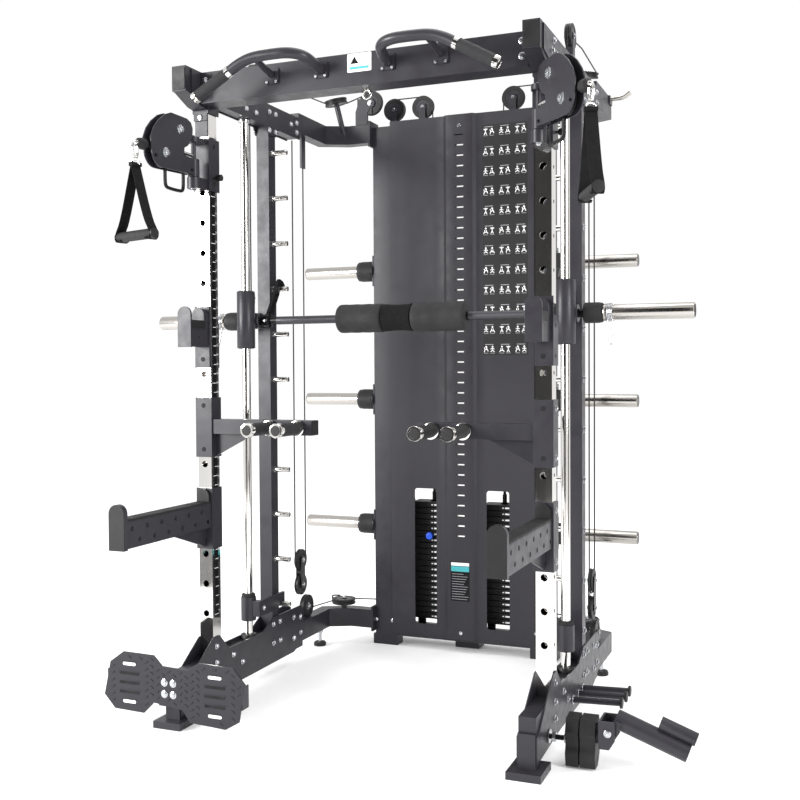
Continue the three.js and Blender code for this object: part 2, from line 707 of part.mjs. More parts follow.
// Everything of a head is drawn with the swivel line as the origin and the arm along -Y.
function adjusterHead() {
  const fin = new THREE.Shape();
  fin.moveTo(-18, 42);
  fin.lineTo(-190, 34);
  fin.quadraticCurveTo(-258, 36, -258, 84);
  fin.quadraticCurveTo(-246, 150, -150, 208);
  fin.absarc(-100, 172, 55, 2.4, -0.7, true);
  fin.lineTo(-52, 118);
  fin.lineTo(-18, 112);
  fin.lineTo(-18, 42);
  const wheels = [[-98, 172], [-176, 84]];
  const pieces = [
    sidePlate(fin, -16, -12),
    sidePlate(fin, 12, 16),
    rod([0, 0, 36 + GAP], [0, 0, 150 - GAP], 19, 12),
    block([-16, 16], [-40, -10], [44, 112]),
    bentRod([[0, -60, 30], [0, -60, -8], [0, -72, -18], [0, -150, -18], [0, -160, -8], [0, -160, 36]], 5, 12, 6),
    block([-14, 14], [-66, -54], [26, 44]),
    block([-14, 14], [-166, -154], [26, 44]),
  ];
  for (const [y, z] of wheels) {
    pieces.push(rod([-9, y, z], [9, y, z], PULLEY_R, 14));
    pieces.push(rod([-20, y, z], [20, y, z], 9, 6));
  }
  return cut(join(pieces), [rod([0, 0, 30], [0, 0, 160], 8.8, 10)]);
}

// The rubber ball on the cable's end and the snap hook below it.
function cableEnd() {
  return join([
    rod([0, -262, 92], [0, -300, 92], 17, 12, 14),
    bentRod([[0, -298, 92], [0, -318, 92], [0, -324, 70], [0, -310, 42], [0, -302, 66], [0, -304, 88]], 4, 12, 6),
  ]);
}

// The webbing splits from the snap hook to the two ends of the grip.
function strapHandle() {
  const strap = (end) =>
    sidePlate([[-306, 30], [-316, 30], [end - 8, -180], [end + 8, -180]], -17, 17);
  return join([
    bentRod([[-12, -311, 28], [-10, -311, 40 - 4], [10, -311, 40 - 4], [12, -311, 28]], 3.5, 8, 6),
    block([-17, 17], [-318, -304], [20, 31]),
    strap(-385),
    strap(-238),
    rod([0, -400, -188], [0, -222, -188], 15, 12),
  ]);
}

function adjusterPin(side, z) {
  const x = side * HALF_SPAN + HALF;
  return join([
    rod([x + 1, HALF, z + PIN_ABOVE_EDGE], [x + 28, HALF, z + PIN_ABOVE_EDGE], 4, 8),
    rod([x + 12, HALF, z + PIN_ABOVE_EDGE], [x + 36, HALF, z + PIN_ABOVE_EDGE], 10, 12),
  ]);
}

for (const [name, side] of Object.entries(SIDES)) {
  const z = SLIDER_Z[name];
  add("adjuster_slider_" + name, adjusterSlider(side, z), POWDER);
  add("adjuster_pin_" + name, adjusterPin(side, z), BLACK);
  const swivel = new THREE.Group();
  swivel.position.set(side * HALF_SPAN, HEAD_Y, z);
  swivel.rotation.z = THREE.MathUtils.degToRad(HEAD_TURN[name]);
  machine.add(swivel);
  add("adjuster_head_" + name, adjusterHead(), POWDER, swivel);
  add("cable_end_" + name, cableEnd(), BLACK, swivel);
  add("strap_handle_" + name, strapHandle(), BLACK, swivel);
}

// ---- foot plate and landmine --------------------------------------------------------------------
function footPlate() {
  const x = -HALF_SPAN;
  const outline = [
    [-227, 92], [-186, 50], [-76, 47], [-38, 84], [68, 72], [95, 36], [222, 30], [270, 58],
    [292, 176], [250, 222], [128, 226], [88, 200], [-6, 203], [-38, 234], [-152, 236], [-203, 200],
  ].map(([u, v]) => [x + u, v]);
  const slots = [];
  for (const [centre, low] of [[-130, 78], [185, 66]]) {
    for (let i = 0; i < 5; i++) {
      const z = low + 30 * i;
      slots.push(block([x + centre - 36, x + centre + 36], [-300, -200], [z - 5, z + 5]));
    }
  }
  return join([
    cut(frontPlate(outline, -246, -241), slots),
    block([x + 276, x + 281], [-245, -205], [95, 165]),
    block([x - 216, x - 211], [-245, -205], [100, 175]),
    block([x - 22, x + 22], [-242, -200 - GAP], [76, 116]),
  ]);
}

const MINE_X = HALF_SPAN + CHEEK_OUT + GAP; // outer face of the right side frame
const MINE_Y = -63; // the swivel bracket and the tube are centred here

// Two moulded cheeks, clamped by a threaded rod that screws into the side frame.
function landmineClamp() {
  const wave = new THREE.Shape();
  wave.moveTo(MINE_Y - 30, 6);
  wave.lineTo(MINE_Y - 38, 44);
  wave.quadraticCurveTo(MINE_Y - 22, 70, MINE_Y - 38, 104);
  wave.lineTo(MINE_Y - 22, 140);
  wave.lineTo(MINE_Y + 22, 146);
  wave.quadraticCurveTo(MINE_Y + 52, 96, MINE_Y + 40, 48);
  wave.lineTo(MINE_Y + 6, 6);
  return join([
    rod([MINE_X, MINE_Y, 74], [MINE_X + 60, MINE_Y, 74], 7, 8),
    sidePlate(wave, MINE_X + 55, MINE_X + 92),
    sidePlate(wave, MINE_X + 96, MINE_X + 140),
    block([MINE_X + 90, MINE_X + 100], [MINE_Y - 12, MINE_Y + 12], [40, 100]),
    rod([MINE_X + 139, MINE_Y, 100], [MINE_X + 150, MINE_Y, 100], 28, 12),
  ]);
}

const BRACKET_X = MINE_X + 150 + GAP;
const PIVOT = [BRACKET_X + 26, MINE_Y, 116];

function landmineBracket() {
  const ear = [[0, 70], [0, 148], [46, 148], [46, 96], [30, 70]].map(([u, v]) => [BRACKET_X + u, v]);
  const body = join([
    block([BRACKET_X, BRACKET_X + 6], [MINE_Y - 42, MINE_Y + 42], [70, 148]),
    frontPlate(ear, MINE_Y - 42, MINE_Y - 36),
    frontPlate(ear, MINE_Y + 36, MINE_Y + 42),
  ]);
  const [x, y, z] = PIVOT;
  return cut(body, [rod([x, y - 50, z], [x, y + 50, z], 6.8, 10)]);
}

// The tubes that take a barbell's end, drawn level with the pivot at the origin.
function landmineTube() {
  const ear = [[-12, -14], [24, -14], [24, 40], [4, 40], [-12, 10]];
  const body = join([
    rod([4, 0, 36], [216, 0, 36], 27, 16),
    rod([118, 0, 80], [222, 0, 80], 19, 14),
    block([124, 206], [-8, 8], [56, 68]),
    frontPlate(ear, -33, -27),
    frontPlate(ear, 27, 33),
    block([4, 24], [-33, 33], [30, 40]),
    rod([0, -40, 0], [0, 40, 0], 6, 10),
  ]);
  return cut(body, [
    rod([14, 0, 36], [230, 0, 36], 23.5, 16),
    rod([110, 0, 80], [230, 0, 80], 15.5, 14),
  ]);
}

add("foot_plate", footPlate(), POWDER);
add("landmine_clamp", landmineClamp(), BLACK);
add("landmine_bracket", landmineBracket(), POWDER);
const tilt = new THREE.Group();
tilt.position.set(...PIVOT);
tilt.rotation.y = THREE.MathUtils.degToRad(20);
machine.add(tilt);
add("landmine_tube", landmineTube(), POWDER, tilt);

const middle = new THREE.Box3().setFromObject(machine).getCenter(new THREE.Vector3());
machine.position.set(-middle.x, -middle.y, 0);

export default machine;
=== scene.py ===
"""Looks for the smith machine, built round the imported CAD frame.

Measures are millimetres in the machine's own directions: x from its middle, y from the front face of the
front uprights, z from the floor. A Piece turns them into the frame's metres.
"""

import math

import bmesh
import bpy
from mathutils import Matrix, Vector


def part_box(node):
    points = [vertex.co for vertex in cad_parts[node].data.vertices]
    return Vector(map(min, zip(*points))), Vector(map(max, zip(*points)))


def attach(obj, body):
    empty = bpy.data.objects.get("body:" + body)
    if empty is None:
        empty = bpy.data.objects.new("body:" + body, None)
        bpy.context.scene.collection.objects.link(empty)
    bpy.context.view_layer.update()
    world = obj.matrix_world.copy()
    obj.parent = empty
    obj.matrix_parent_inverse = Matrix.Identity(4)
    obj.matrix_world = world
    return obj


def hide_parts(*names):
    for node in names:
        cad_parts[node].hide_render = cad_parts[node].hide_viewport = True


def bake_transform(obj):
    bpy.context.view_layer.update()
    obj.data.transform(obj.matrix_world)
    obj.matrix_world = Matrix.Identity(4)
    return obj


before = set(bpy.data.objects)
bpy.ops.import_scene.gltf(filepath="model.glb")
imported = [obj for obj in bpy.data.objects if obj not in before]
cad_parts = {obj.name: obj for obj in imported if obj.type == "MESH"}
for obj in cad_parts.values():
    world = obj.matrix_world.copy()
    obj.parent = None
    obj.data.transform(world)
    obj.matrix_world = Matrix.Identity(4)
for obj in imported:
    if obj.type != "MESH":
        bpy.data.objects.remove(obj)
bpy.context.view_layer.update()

# ---- the machine's layout ------------------------------------------------------------------------
LEFT_LOW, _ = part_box("front_upright_left")
_, RIGHT_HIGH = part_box("front_upright_right")
CENTRE = Vector(((LEFT_LOW.x + RIGHT_HIGH.x) / 2, LEFT_LOW.y, 0))
MACHINE = Matrix.Translation(CENTRE) @ Matrix.Scale(0.001, 4)
SIDES = {"left": -1, "right": 1}
ACROSS = (1, 0, 0)
FORWARD = (0, -1, 0)
UP = (0, 0, 1)
HALF_SPAN = 578
HALF = 25
UPRIGHT_BOTTOM = 165
UPRIGHT_TOP = 2020
HOLE_PITCH = 100
HOLES_Z = [316 + HOLE_PITCH * i for i in range(16)]
PEGS_Z = [263 + 166 * i for i in range(11)]
REAR_Y = 427
ROD_Y = 274
BAR_Y = 330
BAR_Z = 1305
HORN_Y = 974
HORNS_Z = [490, 1005, 1530]
PANEL_Y = 943
STACK_X = 150
STACK_Y = 1044
PLATE_PITCH = 24
STACK_BOTTOM = 108
SPLIT_Z = STACK_BOTTOM + 14 * PLATE_PITCH
STACK_TOP = SPLIT_Z + 6 * PLATE_PITCH
LOOP_Y = 675
WHEEL_R = 42
BLOCK_TOP = 380
BLOCK_LOW = 283
HEAD_Y = -50
SLIDER_Z = {"left": 1722, "right": 1772}
HEAD_TURN = {"left": 0, "right": 40}
PIN_RISE = 44
DIP_Z = 941
CAMERA_AT = (1341.6, -2974.2, 1132.4)
CAMERA_TURNS = (21.89, -1.40, -0.31)  # yaw, pitch and roll in degrees
MINE_X = HALF_SPAN + 29.6
PIVOT = (MINE_X + 176.3, -63, 116)
LANDMINE_TILT = 20


# ---- camera --------------------------------------------------------------------------------------
def add_camera():
    yaw, pitch, roll = (math.radians(a) for a in CAMERA_TURNS)
    ahead = Vector((-math.sin(yaw) * math.cos(pitch), math.cos(yaw) * math.cos(pitch), math.sin(pitch)))
    level = Vector((math.cos(yaw), math.sin(yaw), 0))
    upright = level.cross(ahead)
    right = level * math.cos(roll) + upright * math.sin(roll)
    up = right.cross(ahead)
    data = bpy.data.cameras.new("camera")
    data.lens = 47.0
    data.shift_x = -0.0079
    data.shift_y = -0.0080
    data.clip_end = 60
    camera = bpy.data.objects.new("camera", data)
    turn = Matrix((right, up, -ahead)).transposed().to_4x4()
    camera.matrix_world = Matrix.Translation(MACHINE @ Vector(CAMERA_AT)) @ turn
    bpy.context.scene.collection.objects.link(camera)
    bpy.context.scene.camera = camera


# ---- materials -----------------------------------------------------------------------------------
class Shader:
    """A principled material whose colour, roughness and relief all vary over the surface."""

    def __init__(self, name, color, roughness, metallic=0.0, gloss=0.5):
        self.material = bpy.data.materials.new(name)
        self.material.use_nodes = True
        self.material.diffuse_color = (*color, 1)
        self.tree = self.material.node_tree
        self.surface = self.tree.nodes["Principled BSDF"]
        self.surface.inputs["Metallic"].default_value = metallic
        self.surface.inputs["Specular IOR Level"].default_value = gloss
        self.coords = self.tree.nodes.new("ShaderNodeTexCoord").outputs["Object"]
        self.color = color
        self.roughness = roughness

    def node(self, kind, **values):
        made = self.tree.nodes.new(kind)
        for key, value in values.items():
            made.inputs[key.replace("_", " ")].default_value = value
        return made

    def link(self, a, b):
        self.tree.links.new(a, b)

    def noise(self, scale, detail=3.0, stretch=(1, 1, 1)):
        place = self.node("ShaderNodeMapping")
        place.inputs["Scale"].default_value = stretch
        made = self.node("ShaderNodeTexNoise", Scale=scale, Detail=detail)
        self.link(self.coords, place.inputs["Vector"])
        self.link(place.outputs["Vector"], made.inputs["Vector"])
        return made.outputs["Fac"]

    def waves(self, scale, turn):
        place = self.node("ShaderNodeMapping")
        place.inputs["Rotation"].default_value = [math.radians(a) for a in turn]
        made = self.node("ShaderNodeTexWave", Scale=scale)
        self.link(self.coords, place.inputs["Vector"])
        self.link(place.outputs["Vector"], made.inputs["Vector"])
        return made.outputs["Fac"]

    def both(self, a, b, operation="MAXIMUM"):
        made = self.tree.nodes.new("ShaderNodeMath")
        made.operation = operation
        self.link(a, made.inputs[0])
        self.link(b, made.inputs[1])
        return made.outputs[0]

    def vary_color(self, fac, spread):
        mix = self.tree.nodes.new("ShaderNodeMix")
        mix.data_type = "RGBA"
        mix.inputs[6].default_value = (*[c * (1 - spread) for c in self.color], 1)
        mix.inputs[7].default_value = (*[min(1, c * (1 + spread)) for c in self.color], 1)
        self.link(fac, mix.inputs[0])
        self.link(mix.outputs[2], self.surface.inputs["Base Color"])

    def vary_roughness(self, fac, spread):
        span = self.tree.nodes.new("ShaderNodeMapRange")
        span.inputs["From Min"].default_value = 0.3
        span.inputs["From Max"].default_value = 0.7
        span.inputs["To Min"].default_value = self.roughness * (1 - spread)
        span.inputs["To Max"].default_value = min(1, self.roughness * (1 + spread))
        self.link(fac, span.inputs["Value"])
        self.link(span.outputs["Result"], self.surface.inputs["Roughness"])

    def relief(self, height, strength, depth):
        bump = self.node("ShaderNodeBump", Strength=strength, Distance=depth)
        self.link(height, bump.inputs["Height"])
        self.link(bump.outputs["Normal"], self.surface.inputs["Normal"])


COAT_GLOSS = 0.3
CROSSED_GLOSS = 0.12


def coated(name, color, roughness, metallic=0.0, spread=0.08, grain=700.0, strength=0.25, depth=0.0002):
    shader = Shader(name, color, roughness, metallic, COAT_GLOSS)
    shader.vary_color(shader.noise(9.0), spread)
    shader.vary_roughness(shader.noise(26.0), 0.18)
    shader.relief(shader.noise(grain, 2.0), strength, depth)
    return shader


def polished(name, color, roughness, streaks=(1, 1, 1)):
    shader = Shader(name, color, roughness, 1.0)
    shader.vary_color(shader.noise(14.0, 2.0, streaks), 0.035)
    shader.vary_roughness(shader.noise(40.0, 4.0, streaks), 0.45)
    shader.relief(shader.noise(60.0, 2.0, streaks), 0.04, 0.0002)
    return shader


def crossed(name, color, roughness, scale, strength, depth, turns, metallic=0.0):
    shader = Shader(name, color, roughness, metallic, CROSSED_GLOSS)
    ridges_and_groove_shade = shader.both(shader.waves(scale, turns[0]), shader.waves(scale, turns[1]))
    # The colour follows the ridges: the grooves between them are painted darker, painted shade in the grooves
    # over the same pattern as the relief.
    shader.vary_color(ridges_and_groove_shade, 0.35)
    shader.vary_roughness(shader.noise(60.0), 0.15)
    shader.relief(ridges_and_groove_shade, strength, depth)
    return shader


POWDER = coated("powder_coat", (0.0200, 0.0188, 0.0235), 0.36, 0.0).material
POWDER_FLAT = coated("powder_sheet", (0.0205, 0.0190, 0.0235), 0.45, 0.0, 0.06).material
TREAD = coated("tread_sheet", (0.026, 0.025, 0.029), 0.36, 0.35, 0.15).material
CHROME = polished("chrome", (0.70, 0.685, 0.66), 0.07, (1, 1, 0.08)).material
SATIN = polished("satin_steel", (0.44, 0.42, 0.395), 0.2, (0.1, 1, 1)).material
ZINC = polished("zinc", (0.5, 0.51, 0.53), 0.24).material
BLACKENED = coated("black_steel", (0.008, 0.008, 0.009), 0.3, 0.55, 0.12).material
NYLON = coated("black_nylon", (0.007, 0.007, 0.0075), 0.48, 0, 0.15, 320.0, 0.3).material
RUBBER = coated("rubber", (0.009, 0.009, 0.0095), 0.66, 0, 0.18, 450.0, 0.45).material
FOAM = coated("foam", (0.0155, 0.0148, 0.0158), 0.72, 0, 0.2, 260.0, 0.6, 0.0006).material
CABLE = crossed("coated_cable", (0.02, 0.02, 0.02), 0.32, 160, 0.15, 0.0002,
                ((0, 35, 0), (0, 35, 0))).material
IRON = coated("cast_plate", (0.007, 0.007, 0.008), 0.55, 0.2, 0.2, 240.0, 0.4, 0.0004).material
# Painted shade: a near-black finish for thin discs and slots laid on faces where a hole's inside would lie in
# shade.
HOLE_SHADE = coated("painted_hole_shade", (0.006, 0.006, 0.007), 0.8).material
CHART_BACK = coated("chart_sheet", (0.011, 0.010, 0.010), 0.5).material
PRINT = coated("white_print", (0.8, 0.8, 0.8), 0.6, 0, 0.03).material
GREY_PRINT = coated("grey_print", (0.30, 0.30, 0.32), 0.6, 0, 0.05).material
TEAL_PRINT = coated("teal_print", (0.05, 0.33, 0.36), 0.5, 0, 0.05).material
BLUE = coated("blue_knob", (0.02, 0.09, 0.62), 0.35, 0, 0.1, 300.0, 0.2).material
WEBBING = crossed("webbing", (0.0055, 0.0055, 0.006), 0.8, 150, 0.6, 0.0006, ((0, 0, 0), (0, 90, 0))).material
GRIP = crossed("knurled_grip", (0.022, 0.022, 0.023), 0.55, 170, 0.7, 0.0005,
               ((0, 45, 20), (0, -45, 20))).material
KNURL = crossed("knurled_steel", (0.06, 0.06, 0.065), 0.36, 240, 0.5, 0.0003,
                ((0, 45, 0), (0, -45, 0)), 0.8).material


# ---- pieces --------------------------------------------------------------------------------------
def arc(u, v, radius, start, end, steps=8):
    """Points on a circle from one angle to the other, in degrees."""
    turns = [math.radians(start + (end - start) * i / steps) for i in range(steps + 1)]
    return [(u + radius * math.cos(a), v + radius * math.sin(a)) for a in turns]


def rounded(u0, u1, v0, v1, radius, steps=5):
    """A rectangle's outline with round corners."""
    return [
        *arc(u1 - radius, v1 - radius, radius, 0, 90, steps),
        *arc(u0 + radius, v1 - radius, radius, 90, 180, steps),
        *arc(u0 + radius, v0 + radius, radius, 180, 270, steps),
        *arc(u1 - radius, v0 + radius, radius, 270, 360, steps),
    ]


def round_topped(u, half, low, top):
    """A plate's outline with half a circle for its top."""
    return [(u - half, low), (u + half, low), *arc(u, top - half, half, 0, 180, 14)]


def turned_by(degrees, axis):
    return Matrix.Rotation(math.radians(degrees), 4, axis)


def sides_of(axis):
    axis = axis.normalized()
    first = axis.cross(Vector(UP) if abs(axis.z) < 0.9 else Vector(ACROSS)).normalized()
    return first, axis.cross(first)


class Piece:
    """One visible object, made of closed solids; every measure is in millimetres of its matrix."""

    def __init__(self, name, body, slot=None, bevel=0.0, stands_for=(), matrix=MACHINE):
        self.name = name
        self.body = body
        self.slot = slot
        self.bevel = bevel
        self.stands_for = stands_for
        self.matrix = matrix
        self.bm = bmesh.new()
        self.materials = []

    def paint(self, faces, material):
        if material not in self.materials:
            self.materials.append(material)
        for face in faces:
            face.material_index = self.materials.index(material)

    def loft(self, rings, material, caps=True, closed=False):
        """Skins the rings in order; closed joins the last ring to the first."""
        made = [[self.bm.verts.new(self.matrix @ Vector(p)) for p in ring] for ring in rings]
        faces = []
        pairs = list(zip(made, made[1:])) + ([(made[-1], made[0])] if closed else [])
        for a, b in pairs:
            for i in range(len(a)):
                j = (i + 1) % len(a)
                faces.append(self.bm.faces.new((a[i], a[j], b[j], b[i])))
        if caps and not closed:
            faces.append(self.bm.faces.new(list(reversed(made[0]))))
            faces.append(self.bm.faces.new(made[-1]))
        self.paint(faces, material)
        return self

    def box(self, x, y, z, material):
        (x0, x1), (y0, y1), (z0, z1) = (sorted(pair) for pair in (x, y, z))
        low = [(x0, y0, z0), (x1, y0, z0), (x1, y1, z0), (x0, y1, z0)]
        return self.loft([low, [(px, py, z1) for px, py, _ in low]], material)

    def turned(self, start, axis, profile, material, sides=32):
        """A solid of revolution: profile holds (distance along the axis, radius)."""
        axis = Vector(axis).normalized()
        u, v = sides_of(axis)
        rings = []
        for along, radius in profile:
            centre = Vector(start) + axis * along
            rings.append([
                centre + (u * math.cos(a) + v * math.sin(a)) * radius
                for a in (2 * math.pi * i / sides for i in range(sides))
            ])
        return self.loft(rings, material)

    def disc(self, start, axis, radius, thick, material, sides):
        return self.turned(start, axis, [(0, radius), (thick, radius)], material, sides)

    def rod(self, a, b, radius, material, sides=32, round_end=0.0):
        """A straight round bar, whose end edges are eased by round_end."""
        axis = Vector(b) - Vector(a)
        length = axis.length
        e = round_end
        profile = [(0, radius), (length, radius)]
        if e:
            profile = [(0, radius - e), (e * 0.3, radius - e * 0.3), (e, radius),
                       (length - e, radius), (length - e * 0.3, radius - e * 0.3), (length, radius - e)]
        return self.turned(a, axis, profile, material, sides)

    def ring(self, start, axis, profile, material, sides=32):
        """A hollow solid of revolution: the profile is a closed loop of (distance, radius)."""
        axis = Vector(axis).normalized()
        u, v = sides_of(axis)
        rings = []
        for i in range(sides):
            a = 2 * math.pi * i / sides
            out = u * math.cos(a) + v * math.sin(a)
            rings.append([Vector(start) + axis * along + out * radius for along, radius in profile])
        return self.loft(rings, material, closed=True)

    def tube(self, start, axis, radii, reach, material, sides):
        """A plain hollow cylinder between two radii and two distances along the axis."""
        (inner, outer), (near, far) = radii, reach
        profile = [(near, inner), (near, outer), (far, outer), (far, inner)]
        return self.ring(start, axis, profile, material, sides)

    def sweep(self, points, radius, material, sides=12, smooth=0, section=None, closed=False):
        """A bar along a path; section, a list of (u, v), takes the round section's place."""
        path = [Vector(p) for p in points]
        for _ in range(smooth):
            path = soften(path)
        section = section or [
            (radius * math.cos(2 * math.pi * i / sides), radius * math.sin(2 * math.pi * i / sides))
            for i in range(sides)
        ]
        u, v = sides_of(path[1] - path[0])
        rings = []
        count = len(path)
        for i, point in enumerate(path):
            if closed:
                ahead = path[(i + 1) % count] - path[i - 1]
            else:
                ahead = path[min(i + 1, count - 1)] - path[max(i - 1, 0)]
            ahead.normalize()
            u = (u - ahead * u.dot(ahead)).normalized()
            v = ahead.cross(u)
            rings.append([point + u * a + v * b for a, b in section])
        return self.loft(rings, material, closed=closed)

    def prism(self, outline, plane, low, high, material):
        """An outline extruded across its plane, which is "yz", "xz" or "xy"."""
        place = {
            "yz": lambda p, d: (d, p[0], p[1]),
            "xz": lambda p, d: (p[0], d, p[1]),
            "xy": lambda p, d: (p[0], p[1], d),
        }[plane]
        return self.loft([[place(p, low) for p in outline], [place(p, high) for p in outline]], material)

    def bolt(self, spot, axis, size=8.0, material=ZINC, washer=True):
        """A hex bolt head on its washer, seen from the side that axis points to."""
        axis = Vector(axis).normalized()
        spot = Vector(spot) - axis * 0.3
        if washer:
            self.turned(spot, axis, [(0, size * 1.35), (1.3, size * 1.35), (1.6, size * 1.28)], material, 24)
        head = spot + axis * 1.5
        self.turned(head, axis, [(0, size * 0.98), (size * 0.5, size * 0.98), (size * 0.62, size * 0.84)],
                    material, 6)
        self.turned(head, axis, [(0, size * 0.5), (size * 0.7, size * 0.5), (size * 0.8, size * 0.42)],
                    material, 16)
        return self

    def pulley(self, centre, axis, radius, width=19, bolt=True):
        """A nylon wheel with a cable groove, lightening rings and its axle bolt."""
        axis = Vector(axis).normalized()
        start = Vector(centre) - axis * (width / 2)
        rim = radius + 3.5
        profile = [(3, 0.1), (3, radius * 0.62), (0, radius * 0.7), (0, rim - 1.5), (1.2, rim),
                   (width * 0.3, rim - 0.3), (width * 0.42, radius + 0.5), (width * 0.58, radius + 0.5),
                   (width * 0.7, rim - 0.3), (width - 1.2, rim), (width, rim - 1.5), (width, radius * 0.7),
                   (width - 3, radius * 0.62), (width - 3, 0.1)]
        self.turned(start, axis, profile, NYLON, 40)
        self.turned(start, axis, [(0.5, 13), (1, 14), (width - 1, 14), (width - 0.5, 13)], SATIN, 24)
        if bolt:
            for way in (-1, 1):
                self.bolt(Vector(centre) + axis * way * (width / 2 + 2), axis * way, 7.5)
        return self

    def done(self):
        bm = self.bm
        bmesh.ops.recalc_face_normals(bm, faces=bm.faces)
        for face in bm.faces:
            face.smooth = True
        for edge in bm.edges:
            if len(edge.link_faces) != 2 or edge.calc_face_angle() > SHARP:
                edge.smooth = False
        mesh = bpy.data.meshes.new(self.name)
        bm.to_mesh(mesh)
        bm.free()
        for material in self.materials:
            mesh.materials.append(material)
        made = bpy.data.objects.new(self.name, mesh)
        bpy.context.scene.collection.objects.link(made)
        if self.bevel:
            ease_edges(made, self.bevel)
        if self.body:
            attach(made, self.body)
        if self.stands_for:
            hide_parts(*self.stands_for)
        return made


def stretched(rope):
    """Finishes a rope, with its placement baked into its mesh."""
    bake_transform(rope.done())


SHARP = math.radians(38)


def soften(path):
    """Cuts each corner of a path once, and keeps its two ends."""
    out = [path[0]]
    for a, b in zip(path, path[1:]):
        out += [a.lerp(b, 0.25), a.lerp(b, 0.75)]
    return [*out, path[-1]]


def ease_edges(made, width):
    bevel = made.modifiers.new("ease", "BEVEL")
    bevel.width = width / 1000
    bevel.segments = 2
    bevel.limit_method = "ANGLE"
    bevel.angle_limit = math.radians(44)
    bevel.harden_normals = True


def rounding_group():
    """A node group that shades a mesh smooth except across sharp edges."""
    tree = bpy.data.node_groups.new("round_shading", "GeometryNodeTree")
    tree.interface.new_socket("Geometry", in_out="INPUT", socket_type="NodeSocketGeometry")
    tree.interface.new_socket("Geometry", in_out="OUTPUT", socket_type="NodeSocketGeometry")
    start = tree.nodes.new("NodeGroupInput")
    end = tree.nodes.new("NodeGroupOutput")
    faces = tree.nodes.new("GeometryNodeSetShadeSmooth")
    edges = tree.nodes.new("GeometryNodeSetShadeSmooth")
    edges.domain = "EDGE"
    edges.inputs["Shade Smooth"].default_value = False
    angle = tree.nodes.new("GeometryNodeInputMeshEdgeAngle")
    compare = tree.nodes.new("ShaderNodeMath")
    compare.operation = "GREATER_THAN"
    compare.inputs[1].default_value = SHARP
    tree.links.new(start.outputs[0], faces.inputs["Geometry"])
    tree.links.new(faces.outputs[0], edges.inputs["Geometry"])
    tree.links.new(angle.outputs["Unsigned Angle"], compare.inputs[0])
    tree.links.new(compare.outputs[0], edges.inputs["Selection"])
    tree.links.new(edges.outputs[0], end.inputs[0])
    return tree


def finish_cad(names, material, ease=1.2):
    """Gives CAD nodes their material, eased edges and shading."""
    for name in names:
        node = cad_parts[name]
        node.data.materials.clear()
        node.data.materials.append(material)
        weld = node.modifiers.new("weld", "WELD")
        weld.merge_threshold = 0.00002
        flat = node.modifiers.new("flat", "DECIMATE")
        flat.decimate_type = "DISSOLVE"
        flat.angle_limit = math.radians(1)
        if ease:
            ease_edges(node, ease)
            node.modifiers["ease"].harden_normals = False
        rounding = node.modifiers.new("rounding", "NODES")
        rounding.node_group = ROUNDING
        normals = node.modifiers.new("normals", "WEIGHTED_NORMAL")
        normals.keep_sharp = True


ROUNDING = rounding_group()


def both_sides(make):
    for name, side in SIDES.items():
        make(name, side)


# ---- uprights, rods and frames -------------------------------------------------------------------
def pierced_wall(piece, x, y_out, y_in, material):
    """A tube's wall with a row of round holes: its outer and inner skins and the holes' edges."""
    sides = 32
    radius = 11
    reach = HOLE_PITCH / 2
    skins = []
    for y, half in ((y_out, HALF), (y_in, HALF - 3)):
        corner = math.atan2(reach, half)
        snapped = {}
        for a in (corner, math.pi - corner, math.pi + corner, 2 * math.pi - corner):
            nearest = round(a / (2 * math.pi) * sides) % sides
            snapped[nearest] = (math.copysign(half, math.cos(a)), math.copysign(reach, math.sin(a)))
        skins.append((y, half, snapped))
    def rim(angle, half):
        c, s = math.cos(angle), math.sin(angle)
        scale = min(half / abs(c) if abs(c) > 1e-9 else 1e9, reach / abs(s) if abs(s) > 1e-9 else 1e9)
        return c * scale, s * scale
    bm = piece.bm
    new = lambda px, py, pz: bm.verts.new(piece.matrix @ Vector((px, py, pz)))
    faces = []
    for z in HOLES_Z:
        holes = []
        for y, half, snapped in skins:
            edge, hole = [], []
            for i in range(sides):
                angle = 2 * math.pi * i / sides
                u, v = snapped.get(i) or rim(angle, half)
                edge.append(new(x + u, y, z + v))
                hole.append(new(x + radius * math.cos(angle), y, z + radius * math.sin(angle)))
            for i in range(sides):
                j = (i + 1) % sides
                faces.append(bm.faces.new((edge[i], edge[j], hole[j], hole[i])))
            holes.append(hole)
        front_hole, back_hole = holes
        for i in range(sides):
            j = (i + 1) % sides
            faces.append(bm.faces.new((front_hole[i], front_hole[j], back_hole[j], back_hole[i])))
    for z0, z1 in ((UPRIGHT_BOTTOM, HOLES_Z[0] - reach), (HOLES_Z[-1] + reach, UPRIGHT_TOP)):
        for y, half, _ in skins:
            corners = ((-half, z0), (half, z0), (half, z1), (-half, z1))
            faces.append(bm.faces.new([new(x + u, y, z) for u, z in corners]))
    piece.paint(faces, material)


